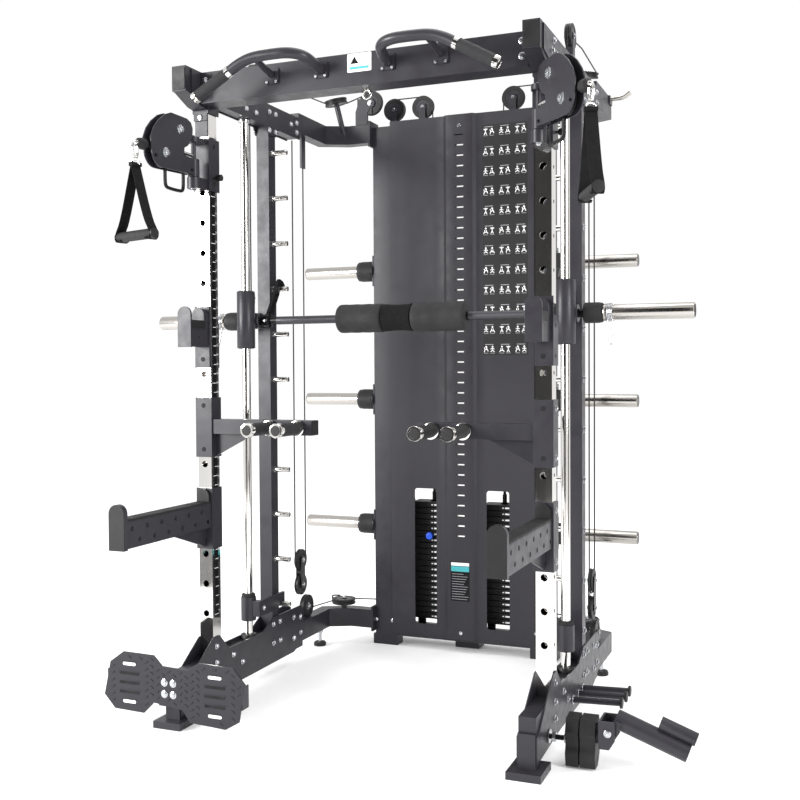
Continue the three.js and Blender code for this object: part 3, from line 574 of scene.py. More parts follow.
def front_upright(name, side):
    x = side * HALF_SPAN
    post = Piece("upright_chrome_" + name, "frame", "chrome", 0, ["front_upright_" + name])
    pierced_wall(post, x, 0, 3, CHROME)
    pierced_wall(post, x, 50, 47, CHROME)
    for half, inset in ((HALF, 0), (HALF - 3, 3)):
        for way in (-1, 1):
            corners = [(x + way * half, inset), (x + way * half, 50 - inset)]
            post.paint([post.bm.faces.new([
                post.bm.verts.new(post.matrix @ Vector(p)) for p in (
                    (*corners[0], UPRIGHT_BOTTOM), (*corners[1], UPRIGHT_BOTTOM),
                    (*corners[1], UPRIGHT_TOP), (*corners[0], UPRIGHT_TOP))
            ])], CHROME)
    bmesh.ops.remove_doubles(post.bm, verts=post.bm.verts, dist=0.00002)
    post.done()
    marks = Piece("upright_scale_" + name, "frame", "nylon")
    face = x - side * HALF
    marks.box((face, face - side * 0.12), (11, 37), (300, 1900), BLACKENED)
    for i in range(52):
        z = 310 + 31 * i
        long_mark = i % 5 == 0
        marks.box((face, face - side * 0.22), (12 if long_mark else 20, 36), (z, z + 1.6), PRINT)
    outer = x + side * HALF
    # Side holes: dark discs of painted shade inside zinc rings.
    for z in HOLES_Z:
        marks.disc((outer - side * 0.6, HALF, z), (side, 0, 0), 5.4, 0.8, HOLE_SHADE, 20)
        marks.tube((outer - side * 0.5, HALF, z), (side, 0, 0), (5.4, 6.3), (0, 0.7), ZINC, 20)
    marks.done()


def guide_rod(name, side):
    x = side * HALF_SPAN
    rod = Piece("guide_rod_chrome_" + name, "frame", "chrome", 0, ["guide_rod_" + name])
    rod.rod((x, ROD_Y, UPRIGHT_BOTTOM + 1), (x, ROD_Y, 2040), 15, CHROME, 48)
    rod.done()
    trim = Piece("guide_rod_collars_" + name, "frame", "nylon", 0.8)
    trim.ring((x, ROD_Y, 146), UP, [(0, 15.2), (0, 28.6), (34, 28.6), (37, 27), (37, 15.2)], NYLON, 40)
    trim.tube((x, ROD_Y, 2006), UP, (15.2, 21), (0, 12), ZINC, 40)
    trim.done()


def rear_pegs(name, side):
    x = side * HALF_SPAN
    inner = x - side * HALF
    pegs = Piece("catch_pegs_" + name, "frame", "chrome")
    bolts = Piece("catch_peg_bolts_" + name, "frame", "bar_steel")
    for z in PEGS_Z:
        pegs.turned((inner, REAR_Y, z), (-side, 0, 0),
                    [(-1, 10.6), (4, 10.6), (4.6, 9.9), (58, 9.9), (62, 8.6), (63, 6)], CHROME, 28)
        bolts.bolt((x + side * HALF, REAR_Y, z), (side, 0, 0), 8.5)
    pegs.done()
    bolts.done()


BASE_BOLTS = [(14, 205), (14, 150), (14, 100), (120, 150), (180, 110), (402, 190), (452, 190), (402, 120),
              (452, 120), (560, 180), (560, 100), (615, 170), (615, 110)]
TOP_BOLTS = [(-6, 2045), (34, 2045), (14, 2078), (240, 2045), (308, 2045), (404, 2004), (450, 2004),
             (404, 2070), (450, 2070), (570, 2060), (615, 2074), (615, 2038)]


def frame_bolts(name, side):
    bolts = Piece("frame_bolts_" + name, "frame", "bar_steel")
    for way in (-1, 1):
        face = side * HALF_SPAN + way * 29.3
        for y, z in BASE_BOLTS + TOP_BOLTS:
            bolts.bolt((face, y, z), (way, 0, 0), 8)
    x = side * HALF_SPAN
    for z in (1963, 1998):
        bolts.bolt((x, -8 if z < 1980 else -30, z), (0, -1, -0.25 if z > 1980 else 0), 7)
    bolts.done()
    caps = Piece("frame_caps_" + name, "frame", "nylon", 1.2)
    caps.prism(rounded(x - 24, x + 24, 2024, 2096, 4), "xz", -132.5, -129, NYLON)
    caps.box((x - 46, x + 46), (-232, -124), (-0.2, 5), RUBBER)
    caps.box((x - 24, x + 24), (-2.6, -0.2), (1900, 2010), POWDER)
    for y, z in ((385, 90), (322, 90), (243, 94)):
        root = side * (HALF_SPAN + 29)
        caps.rod((root, y, z - 6), (root + side * 150, y, z), 9.8, POWDER, 24)
        caps.rod((root + side * 149, y, z), (root + side * 157, y, z), 17, NYLON, 28, 2)
        caps.tube((root, y, z - 6), (side, 0, 0), (9.5, 15), (0, 4), ZINC, 24)
    caps.done()


# ---- front beam and pull-up bars -----------------------------------------------------------------
def front_beam():
    trim = Piece("beam_trim", "frame", "bar_steel")
    eye = [(u, -10, v) for u, v in arc(25, 1977, 13, 0, 360, 28)[:-1]]
    trim.sweep(eye, 4.2, CHROME, 12, closed=True)
    trim.turned((25, -10, 1988), UP, [(0, 5.6), (3, 5.6), (3, 9), (7.2, 9), (7.6, 8)], CHROME, 24)
    for side in SIDES.values():
        for z in (2025, 2068):
            trim.bolt((side * 530, -50, z), FORWARD, 8)
        for x in (112, 283):
            for dx in (-16, 16):
                trim.bolt((side * (x + dx), -55, 2036), FORWARD, 5, ZINC, False)
    trim.done()
    label = Piece("beam_label", "frame", "nylon", 0.2)
    label.prism(rounded(-22, 58, 2037, 2093, 3), "xz", -50.7, -49.8, PRINT)
    label.prism(rounded(-14, 50, 2045, 2053, 1.5), "xz", -51.0, -50.5, TEAL_PRINT)
    label.prism([(-12, 2062), (2, 2084), (16, 2062)], "xz", -51.0, -50.5, BLACKENED)
    for i in range(3):
        label.box((22, 50), (-51.0, -50.5), (2062 + 8 * i, 2065 + 8 * i), GREY_PRINT)
    label.done()


def pull_up_bar(name, side):
    grip = Piece("pull_up_grip_" + name, "frame", "powder_coat", 0, ["pull_up_bar_" + name])
    path = [(side * x, y, z) for x, y, z in (
        (112, -52, 2055), (114, -92, 2064), (124, -140, 2078), (165, -165, 2085), (225, -168, 2085),
        (290, -168, 2083), (335, -168, 2068), (372, -167, 2047), (496, -167, 1978))]
    grip.sweep(path, 16.3, POWDER, 28, 3)
    strut = [(side * x, y, z) for x, y, z in ((283, -52, 2058), (283, -110, 2070), (281, -160, 2080))]
    grip.sweep(strut, 10.5, POWDER, 20, 1)
    for x in (112, 283):
        outline = rounded(side * x - 24, side * x + 24, 2030, 2080, 6)
        grip.prism(outline, "xz", -55, -50.5, POWDER)
    grip.done()
    ends = Piece("pull_up_trim_" + name, "frame", "chrome")
    start, stop = Vector((side * 366, -167, 2051)), Vector((side * 496, -167, 1978))
    along = (stop - start).normalized()
    ends.tube(start, along, (16.4, 18.2), (0, 14), CHROME, 36)
    ends.turned(stop - along * 14, along, [(0, 18.6), (12, 18.6), (15, 17.4), (16, 14)], CHROME, 36)
    ends.tube(start, along, (16.2, 17.6), (14.5, 133), GRIP, 36)
    ends.done()


# ---- rear frame, tower and shroud ----------------------------------------------------------------
def rear_wheels(name, side):
    wheels = Piece("rear_wheels_" + name, "frame", "nylon")
    x = side * HALF_SPAN
    lean = Vector((side * 3, -3, 18)).normalized()
    wheels.pulley((side * 512.5, 890.5, 2214), lean, WHEEL_R + 1, 21)
    wheels.rod((side * 490, 916, 2084), Vector((side * 512.5, 890.5, 2214)) - lean * 9, 11, POWDER, 28)
    wheels.pulley((side * 506, 920, 172), UP, WHEEL_R + 3, 21)
    keeper = [(550, 905, 162), (552, 905, 190), (548, 906, 194), (520, 914, 194)]
    wheels.sweep([(side * u, v, w) for u, v, w in keeper], 3, BLACKENED, 10, 1)
    wheels.pulley((x, 723, 186), ACROSS, WHEEL_R + 0.5, 19)
    wheels.pulley((x, 350, 2190), ACROSS, 37, 22)
    wheels.prism(rounded(690, 756, 143, 196, 10), "yz", x + side * 10, x + side * 14, POWDER)
    wheels.done()
    foot = Piece("levelling_foot_" + name, "frame", "nylon")
    foot.turned((x, 840, 0), UP, [(0, 25), (10, 25.5), (16, 21), (17, 9)], NYLON, 36)
    foot.disc((x, 840, 15), UP, 7.6, 48, ZINC, 20)
    foot.disc((x, 840, 52), UP, 14, 9, ZINC, 6)
    foot.done()
    hook = Piece("rear_hook_" + name, "frame", "bar_steel")
    for y in (868, 888):
        path = [(side * u, y, z) for u, z in ((596, 2112), (628, 2112), (655, 2114), (678, 2130))]
        hook.sweep(path, 5.5, SATIN, 16, 2)
    hook.box((side * 602, side * 608), (856, 900), (2092, 2122), POWDER)
    hook.done()


def tower():
    horns = Piece("tower_horns", "frame", "chrome")
    trim = Piece("tower_trim", "frame", "nylon", 0)
    for side in SIDES.values():
        for z in HORNS_Z:
            horns.turned((side * 440, HORN_Y, z), (side, 0, 0), [(0, 24.8), (246, 24.8), (251, 22.5)],
                         SATIN, 48)
            trim.turned((side * 382, HORN_Y, z), (side, 0, 0),
                        [(0, 38), (3, 41), (52, 41), (64, 38), (67, 34)], RUBBER, 48)
            trim.turned((side * 689, HORN_Y, z), (side, 0, 0), [(0, 22.5), (2.4, 20.5), (2.8, 8)],
                        BLACKENED, 40)
            for dz in (-50, 50):
                trim.bolt((side * 381, HORN_Y, z + dz), (side, 0, 0), 6)
        for x in (191, 317):
            trim.pulley((side * x, STACK_Y, 2198), (0, 1, 0), WHEEL_R + 0.5, 20)
            for way in (-1, 1):
                trim.prism(rounded(side * x - 14, side * x + 14, 2108, 2210, 9), "xz",
                           STACK_Y + way * 14, STACK_Y + way * 17, POWDER)
        trim.pulley((side * 374, 931, 2207), (0, 1, 0), WHEEL_R + 4, 20)
        hanger = [(437, 2121), (384, 2121), (384, 2168), (372, 2186), (358, 2190), (352, 2206), (362, 2222),
                  (384, 2222), (410, 2214), (428, 2198), (437, 2172)]
        trim.prism([(side * u, v) for u, v in hanger], "xz", 914.5, 919, POWDER)
        trim.bolt((side * 372, 914.5, 2206), FORWARD, 8)
        for x in (300, 372):
            trim.bolt((side * x, 948, 100), FORWARD, 6)
    horns.done()
    trim.done()


SLOT_PITCH = 40.6
WINDOW = (105, 198, 100, 648)


def shroud():
    """The sheet-metal cover: a grid of cells that leaves out the slots and the two windows."""
    panel = Piece("shroud_sheet", "frame", "powder_coat", 0, ["shroud_panel"])
    slots = [(-18, 18, 465 + SLOT_PITCH * i - 2.6, 465 + SLOT_PITCH * i + 2.6) for i in range(40)]
    windows = [WINDOW, (-WINDOW[1], -WINDOW[0], WINDOW[2], WINDOW[3])]
    holes = slots + windows
    folds = (52, 56, 66, 70)
    xs = sorted({-297, 297, *(v for h in holes for v in h[:2]), *folds, *(-v for v in folds)})
    zs = sorted({52, 2128, *(v for h in holes for v in h[2:])})
    depth = {52: -12, 56: -11, 66: -1, 70: 0, 18: -12}
    front = lambda x: PANEL_Y + depth.get(abs(x), 0)
    bm = panel.bm
    place = lambda x, y, z: bm.verts.new(panel.matrix @ Vector((x, y, z)))
    near = {(x, z): place(x, front(x), z) for x in xs for z in zs}
    far = {(x, z): place(x, front(x) + 2.5, z) for x in xs for z in zs}
    solid = {}
    for i in range(len(xs) - 1):
        for k in range(len(zs) - 1):
            mx, mz = (xs[i] + xs[i + 1]) / 2, (zs[k] + zs[k + 1]) / 2
            solid[i, k] = not any(a < mx < b and c < mz < d for a, b, c, d in holes)
    faces = []
    for (i, k), kept in solid.items():
        if not kept:
            continue
        corners = [(xs[i], zs[k]), (xs[i + 1], zs[k]), (xs[i + 1], zs[k + 1]), (xs[i], zs[k + 1])]
        faces.append(bm.faces.new([near[c] for c in corners]))
        faces.append(bm.faces.new([far[c] for c in reversed(corners)]))
        for n, (di, dk) in enumerate(((0, -1), (1, 0), (0, 1), (-1, 0))):
            if not solid.get((i + di, k + dk), False):
                a, b = corners[n], corners[(n + 1) % 4]
                faces.append(bm.faces.new((near[a], near[b], far[b], far[a])))
    bmesh.ops.delete(bm, geom=[v for v in bm.verts if not v.link_faces], context="VERTS")
    panel.paint(faces, POWDER_FLAT)
    for side in (-1, 1):
        panel.box((side * 296.5, side * 299), (PANEL_Y + 0.2, PANEL_Y + 9), (53, 2127), POWDER_FLAT)
    panel.done()
    trim = Piece("shroud_trim", "frame", "bar_steel", 0)
    for z in (78, 2084):
        trim.bolt((0, PANEL_Y - 12, z), FORWARD, 5.5)
    for side in (-1, 1):
        low, high = sorted((side * WINDOW[0], side * WINDOW[1]))
        for u, way_u in ((low, 1), (high, -1)):
            for v, way_v in ((WINDOW[2], 1), (WINDOW[3], -1)):
                corner = [(u, v), (u + way_u * 12, v)]
                turn = -90 * way_v
                curve = arc(u + way_u * 12, v + way_v * 12, 12, turn, turn + way_u * turn, 6)
                trim.prism([(u, v), *curve], "xz", PANEL_Y + 0.05, PANEL_Y + 2.45, POWDER_FLAT)
    trim.done()


FIGURES = [
    [(0, 7, 0, 12), (0, 7, -4, 0), (0, 7, 4, 0), (0, 11, -6, 15), (0, 11, 6, 15)],
    [(-4, 6, 4, 8), (4, 8, 6, 2), (-4, 6, -6, 0), (-3, 7, -6, 12), (0, 7, 3, 13)],
    [(0, 5, 0, 11), (0, 5, -6, 1), (0, 5, 6, 1), (0, 10, -6, 8), (0, 10, 6, 8)],
    [(-5, 4, 5, 4), (5, 4, 7, 0), (-5, 4, -7, 0), (-3, 4, -3, 10), (2, 4, 2, 10)],
]


def stroke(piece, x0, z0, x1, z1, width, y, material):
    """A thin printed line."""
    along = Vector((x1 - x0, z1 - z0))
    across = Vector((-along.y, along.x)).normalized() * width / 2
    outline = [(x0 + across.x, z0 + across.y), (x0 - across.x, z0 - across.y),
               (x1 - across.x, z1 - across.y), (x1 + across.x, z1 + across.y)]
    piece.prism(outline, "xz", y - 0.35, y + 0.1, material)


def printed():
    """The chart of simple figures, and a plain panel of lines below it."""
    chart = Piece("shroud_chart", "frame", "nylon")
    chart.box((94, 275), (PANEL_Y - 0.25, PANEL_Y + 0.1), (1181, 2079), CHART_BACK)
    for row in range(12):
        z = 2040 - row * 77
        for group in range(3):
            x = 96 + group * 64
            stroke(chart, x + 6, z + 30, x + 40, z + 30, 2.2, PANEL_Y, GREY_PRINT)
            for n in range(2):
                cx = x + 10 + n * 26
                figure = FIGURES[(row * 3 + group * 2 + n) % 4]
                for x0, z0, x1, z1 in figure:
                    stroke(chart, cx + x0 * 1.3, z + z0 * 1.5, cx + x1 * 1.3, z + z1 * 1.5, 2.6,
                           PANEL_Y, PRINT)
                head = arc(cx, z + 21, 3.4, 0, 360)[:-1]
                chart.prism(head, "xz", PANEL_Y - 0.35, PANEL_Y, PRINT)
                stroke(chart, cx - 9, z - 4, cx + 9, z - 4, 1.6, PANEL_Y, GREY_PRINT)
    chart.done()
    y = PANEL_Y - 12
    sticker = Piece("shroud_sticker", "frame", "nylon")
    sticker.prism(rounded(-41, 38, 206, 361, 3), "xz", y - 0.3, y + 0.1, BLACKENED)
    sticker.prism([(-39, 347), (36, 347), (36, 359), (-39, 359)], "xz", y - 0.5, y, PRINT)
    sticker.prism([(-39, 324), (36, 324), (36, 345), (-39, 345)], "xz", y - 0.5, y, TEAL_PRINT)
    for i in range(11):
        stroke(sticker, -36, 314 - i * 10, 12 + (i * 17) % 22, 314 - i * 10, 1.6, y - 0.25, GREY_PRINT)
    sticker.done()


def stack(name, side):
    x = side * STACK_X
    def plates(label, body, first, count, node):
        pile = Piece(label + name, body, "iron", 1.4, [node + name])
        marks = Piece(label + "marks_" + name, body, "nylon")
        for i in range(count):
            z = first + i * PLATE_PITCH
            pile.box((x - 82, x + 82), (STACK_Y - 44, STACK_Y + 44), (z + 0.5, z + PLATE_PITCH - 1.6), IRON)
            # A dark disc of painted shade stands for a hole in the plate's face; the boxes below are printed
            # marks.
            marks.disc((x - side * 16, STACK_Y - 43.8, z + 11), FORWARD, 4.6, 0.5, HOLE_SHADE, 16)
            marks.box((x + 14, x + 36), (STACK_Y - 44.4, STACK_Y - 43.8), (z + 8, z + 14), PRINT)
            marks.box((x + 2, x + 9), (STACK_Y - 44.4, STACK_Y - 43.8), (z + 9, z + 13), PRINT)
        pile.box((x - 60, x + 60), (STACK_Y - 30, STACK_Y + 30),
                 (first + 1, first + count * PLATE_PITCH - 3), IRON)
        return pile, marks
    for piece in plates("lower_stack_", "frame", STACK_BOTTOM, 14, "lower_plates_"):
        piece.done()
    for piece in plates("lifted_stack_", "stack_" + name, SPLIT_Z, 6, "lifted_plates_"):
        piece.done()
    stem = Piece("stack_stem_" + name, "stack_" + name, "bar_steel")
    stem.turned((x, STACK_Y, STACK_TOP - 4), UP,
                [(0, 16), (8, 16), (9, 9), (40, 9), (42, 6), (60, 6), (62, 3)], BLACKENED, 24)
    coil = [(x + 30 + 8 * math.cos(a / 8 * 2 * math.pi), STACK_Y - 20 + 8 * math.sin(a / 8 * 2 * math.pi),
             STACK_TOP + a * 0.9) for a in range(60)]
    stem.sweep(coil, 1.4, ZINC, 8)
    stem.done()
    rope = Piece("stack_cable_" + name, None, "cable")
    low, high = (x, STACK_Y, STACK_TOP + 56), (x, STACK_Y, 2198)
    rope.rod(low, high, 2.5, CABLE, 12)
    stretched(rope)
    guides = Piece("stack_rods_" + name, "frame", "chrome", 0, ["stack_guides_" + name])
    for dx in (-95, 95):
        guides.rod((x + dx, STACK_Y, 62), (x + dx, STACK_Y, 2060), 10, CHROME, 36)
        guides.turned((x + dx * 0.6, STACK_Y, 76), UP, [(0, 15), (4, 17), (28, 17), (32, 14)], RUBBER, 28)
    for z0, z1 in ((60, 79), (2043, 2062)):
        guides.box((x - 113, x + 113), (STACK_Y - 13, STACK_Y + 13), (z0 + 0.5, z1 - 0.5), POWDER)
    guides.done()
    knob = Piece("selector_knob_" + name, "selector_" + name, "knob", 0, ["selector_pin_" + name])
    z = SPLIT_Z + 6
    face = STACK_Y - 44
    knob.turned((x, face - 24, z), (0, 1, 0), [(0, 9), (1, 13), (4, 15), (12, 15), (15, 10), (19, 8)],
                BLUE, 28)
    knob.rod((x, face - 5, z), (x, face + 22, z), 4.2, ZINC, 20)
    knob.done()


# ---- cables --------------------------------------------------------------------------------------
def cables(name, side):
    x = side * HALF_SPAN
    block = Piece("floating_block_" + name, "floating_" + name, "nylon", 0, ["floating_pulleys_" + name])
    for z in (BLOCK_TOP, BLOCK_LOW):
        block.pulley((x, LOOP_Y, z), ACROSS, WHEEL_R - 4, 15, False)
        for way in (-1, 1):
            block.bolt((x + way * 11.5, LOOP_Y, z), (way, 0, 0), 7)
    outline = [*arc(LOOP_Y, BLOCK_TOP, 17, 0, 180), *arc(LOOP_Y, BLOCK_LOW, 17, 180, 360)]
    for way in (-1, 1):
        block.prism(outline, "yz", x + way * 8.5, x + way * 11.5, BLACKENED)
    block.done()
    reach = 44.5
    turn = [(x, u, v) for u, v in arc(LOOP_Y, BLOCK_TOP, reach, 180, 360, 16)]
    loop = Piece("loop_rope_" + name, None, "cable", 0, ["loop_cable_" + name])
    loop.sweep([(x, LOOP_Y - reach, 2014), *turn, (x, LOOP_Y + reach, 1922)], 2.6, CABLE, 12)
    stretched(loop)
    counter = Piece("counter_rope_" + name, None, "cable", 0, ["counter_cable_" + name])
    y = 350 - 36 - 2.5
    wrap = [(x, u, v) for u, v in arc(350, 2190, 38.5, 180, 0, 12)]
    counter.sweep([(x, y, 1406), *wrap], 2.5, CABLE, 12)
    stretched(counter)
    runs = Piece("frame_ropes_" + name, "frame", "cable")
    runs.sweep([(side * 480, 921, 2214), (side * 374, 931, 2250), (side * 352, 931, 2246)], 2.5, CABLE, 10)
    runs.sweep([(side * 317, STACK_Y, 2241), (side * 191, STACK_Y, 2241)], 2.5, CABLE, 10)
    runs.sweep([(side * 555, 892, 2212), (x, 520, 2200), (x, 388.5, 2190)], 2.5, CABLE, 10)
    runs.sweep([(side * 549, 905, 172), (x, 765, 172), (x, 766, 190)], 2.5, CABLE, 10)
    runs.sweep([(side * 506, 965, 172), (side * 392, 1000, 170), (side * 360, 1005, 170)], 2.5, CABLE, 10)
    runs.done()


# ---- bar -----------------------------------------------------------------------------------------
def carriage(name, side):
    x = side * HALF_SPAN
    low, high = BAR_Z - 99, BAR_Z + 103
    shell = Piece("carriage_shell_" + name, "bar_carriage", "powder_coat", 0, ["carriage_" + name])
    shell.ring((x, ROD_Y, low), UP,
               [(0, 15.8), (0, 30.5), (2, 32), (200, 32), (202, 30.5), (202, 15.8)], POWDER, 48)
    shell.ring((x - 30, BAR_Y, BAR_Z), ACROSS, [(0, 15), (0, 27), (2, 29), (58, 29), (60, 27), (60, 15)],
               POWDER, 40)
    shell.prism(rounded(ROD_Y + 8, BAR_Y - 14, BAR_Z - 27, BAR_Z + 27, 4), "yz", x - 22, x + 22, POWDER)
    shell.prism(rounded(ROD_Y + 20, ROD_Y + 48, BAR_Z + 60, BAR_Z + 100, 5), "yz", x - 10, x + 10, POWDER)
    shell.done()
    trim = Piece("carriage_trim_" + name, "bar_carriage", "bar_steel")
    for z in (low - 1.5, high - 1.5):
        trim.tube((x, ROD_Y, z), UP, (16, 26), (0, 3), NYLON, 40)
    trim.bolt((x - side * 10, ROD_Y + 36, BAR_Z + 82), (-side, 0, 0), 7)
    trim.done()


def catch(piece, side):
    """The hook that hangs the bar on a peg."""
    dy, dz = REAR_Y - BAR_Y, PEGS_Z[7] - BAR_Z
    reach = math.hypot(dy, dz)
    lean = math.degrees(math.atan2(dz, dy))
    polar = lambda radius, degrees: (BAR_Y + radius * math.cos(math.radians(lean + degrees)),
                                     BAR_Z + radius * math.sin(math.radians(lean + degrees)))
    jaw = [(-30, 1), (-8, 4.5), (3, 5.2), (10, 3.5), (11, -3), (14, -5.6), (20, -5.4), (26, -2), (28, 4),
           (22, 11), (4, 13)]
    outline = [polar(20, -60), polar(60, -4), *(polar(reach + past, turn) for past, turn in jaw),
               polar(60, 20), polar(20, 60)]
    x = side * (HALF_SPAN - 45)
    piece.prism(outline, "yz", x - side * 6, x - side * 18, BLACKENED)
    piece.turned((x, BAR_Y, BAR_Z), (-side, 0, 0), [(0, 22), (2, 24), (22, 24), (24, 21)], BLACKENED, 36)
    piece.bolt((x - side * 12, BAR_Y - 23, BAR_Z), FORWARD, 5, ZINC, False)


def bar():
    shaft = Piece("bar_shaft", "bar", "bar_steel", 0, ["smith_bar"])
    shaft.rod((-960, BAR_Y, BAR_Z), (960, BAR_Y, BAR_Z), 14, BLACKENED, 40)
    for side in SIDES.values():
        catch(shaft, side)
        shaft.tube((side * 240, BAR_Y, BAR_Z), (side, 0, 0), (13.5, 14.4), (0, 240), KNURL, 40)
        shaft.turned((side * 627, BAR_Y, BAR_Z), (side, 0, 0),
                     [(0, 29), (3, 33), (46, 33), (58, 31), (61, 27)], RUBBER, 44)
    shaft.done()
    pad = Piece("bar_foam", "bar", "foam", 0, ["bar_pad"])
    for a, b in ((-233, -66), (43, 233)):
        profile = [(0, 15), (0, 40), (1.2, 45), (5, 48.4), (9, 49.2)]
        span = b - a
        steps = [(9 + (span - 18) * i / 10, 49.2 + 0.5 * math.sin(i * 2.1)) for i in range(1, 10)]
        profile += steps + [(span - 9, 49.2), (span - 5, 48.4), (span - 1.2, 45), (span, 40), (span, 15)]
        pad.turned((a, BAR_Y, BAR_Z), ACROSS, profile, FOAM, 56)
    made = pad.done()
    band = Piece("bar_band", "bar", "webbing")
    wraps = [(2 + 4 * i, 46.5 - 3.2 * math.sin(math.pi * i / 26) + 0.9 * (i % 2)) for i in range(27)]
    band.turned((-65, BAR_Y, BAR_Z), ACROSS, [(0, 38), *wraps, (108, 38)], WEBBING, 56)
    band.done()


def bar_sleeve(name, side):
    sleeve = Piece("sleeve_chrome_" + name, "sleeve_" + name, "chrome", 0, ["bar_sleeve_" + name])
    sleeve.ring((side * 690, BAR_Y, BAR_Z), (side, 0, 0),
                [(0, 15), (0, 27), (2, 28), (9, 28), (10, 25), (276, 25), (279, 23.6), (279, 15)], SATIN, 48)
    sleeve.turned((side * 966, BAR_Y, BAR_Z), (side, 0, 0),
                  [(0, 20), (4, 20), (4.6, 18.6), (4.6, 8), (3.6, 6)], NYLON, 40)
    sleeve.done()
    clip = Piece("spring_clip_" + name, "sleeve_" + name, "bar_steel")
    turns = 4
    coil = [(side * (702 + 4.4 * i / 16), BAR_Y + 28 * math.cos(2 * math.pi * i / 16 + 1.9),
             BAR_Z + 28 * math.sin(2 * math.pi * i / 16 + 1.9)) for i in range(16 * turns + 1)]
    clip.sweep(coil, 2, ZINC, 10)
    legs = [(2, -16, -40), (10, -24, -92), (15, -24, -104), (20, -24, -92), (17, -16, -40)]
    path = [coil[0], *[(side * (702 + u), BAR_Y + v, BAR_Z + w) for u, v, w in legs], coil[-1]]
    clip.sweep(path, 2, ZINC, 10, 2)
    clip.done()


# ---- attachments ---------------------------------------------------------------------------------
def attachments(name, side):
    x = side * HALF_SPAN
    hook = Piece("j_hook_trim_" + name, "j_hook_" + name, "nylon", 0.6)
    hook.box((x - 24, x + 24), (-106, -29), (1266, 1292), NYLON)
    hook.prism(round_topped(x, 23, 1290, 1334), "xz", -34, -29.5, POWDER)
    hook.prism(round_topped(x, 24, 1290, 1333), "xz", -104.5, -106.5, NYLON)
    # Dark discs of painted shade stand for the holes.
    hook.disc((x, -5.2, 1165), FORWARD, 8, 0.7, HOLE_SHADE, 28)
    hook.disc((x - side * 20.6, -60, 1237), (-side, 0, 0), 4, 0.8, HOLE_SHADE, 20)
    for z in (1165, 1255):
        hook.disc((x + side * 30.2, 25, z), (side, 0, 0), 6, 0.7, HOLE_SHADE, 24)
    hook.done()
    dip = Piece("dip_trim_" + name, "dip_bar_" + name, "nylon")
    for u in (229, 331):
        dip.ring((side * u, -6, DIP_Z), FORWARD, [(0, 19.2), (0, 26), (5, 26), (6, 24), (6, 19.2)],
                 CHROME, 36)
        dip.tube((side * u, -12, DIP_Z), FORWARD, (19.1, 20.6), (0, 118), GRIP, 40)
        dip.turned((side * u, -128, DIP_Z), FORWARD, [(0, 23.2), (17, 23.2), (20, 21.5), (20.3, 16)],
                   CHROME, 40)
        dip.turned((side * u, -147, DIP_Z), FORWARD, [(0, 17), (2, 16), (2.2, 5)], NYLON, 32)
        dip.bolt((side * u, 48, DIP_Z), (0, 1, 0), 8)
    dip.prism(rounded(side * 180 - 1.5, side * 180 + 1.5, 920, 964, 1), "xz", 2, 46, NYLON)
    for z in (866, 1012):
        dip.bolt((x + side * 30, 25, z), (side, 0, 0), 7)
        # A dark disc of painted shade stands for a hole.
        dip.disc((x, -5.4, z), FORWARD, 8, 0.5, HOLE_SHADE, 28)
    dip.done()
    arm = Piece("spotter_trim_" + name, "spotter_" + name, "nylon", 0.8)
    arm.prism(rounded(x - 24.5, x + 24.5, 684.5, 693, 3), "xz", -454, -8, RUBBER)
    arm.prism(round_topped(x, 23, 693, 735), "xz", -16, -5.8, NYLON)
    # Rows of dark discs of painted shade stand for the arm's holes.
    for i in range(6):
        for dy, z in ((0, 663), (37, 627)):
            y = -430 + 74 * i + dy
            if y < -40:
                for way in (-1, 1):
                    arm.disc((x + way * 24.6, y, z), (way, 0, 0), 6.4, 0.9, HOLE_SHADE, 24)
    arm.prism(round_topped(x, 27, 602, 738), "xz", -473, -471.4, NYLON)
    for z in (560, 712):
        arm.bolt((x + side * 30.5, 25, z), (side, 0, 0), 7)
        # A dark disc of painted shade stands for a hole.
        arm.disc((x, -5.4, z), FORWARD, 9, 0.5, HOLE_SHADE, 28)
    arm.done()
    stop = Piece("lower_stop_trim_" + name, "stop_" + name, "nylon")
    stop.ring((x, ROD_Y, 316), UP, [(-1, 16), (-1, 24), (8, 24.6), (12, 21), (12, 16)], RUBBER, 40)
    stop.bolt((x - side * 52, ROD_Y + 20, 276), (-side, 0, 0), 7)
    stop.done()


# ---- adjusters -----------------------------------------------------------------------------------
FIN = [(-18, 42), (-190, 34), *arc(-200, 84, 50, -80, -178, 8)[1:], (-254, 118), (-238, 150), (-212, 178),
       (-178, 202), (-146, 214), (-60, 214), (-36, 206), (-26, 188), (-28, 166), (-38, 146), (-54, 128),
       (-74, 118), (-76, 95), (-18, 92)]
HANDLE_TURN = {"left": 72, "right": -16}
HOOK_Y = -311


def head_frame(name, side):
    pivot = MACHINE @ Vector((side * HALF_SPAN, HEAD_Y, SLIDER_Z[name]))
    return Matrix.Translation(pivot) @ turned_by(HEAD_TURN[name], "Z") @ Matrix.Scale(0.001, 4)


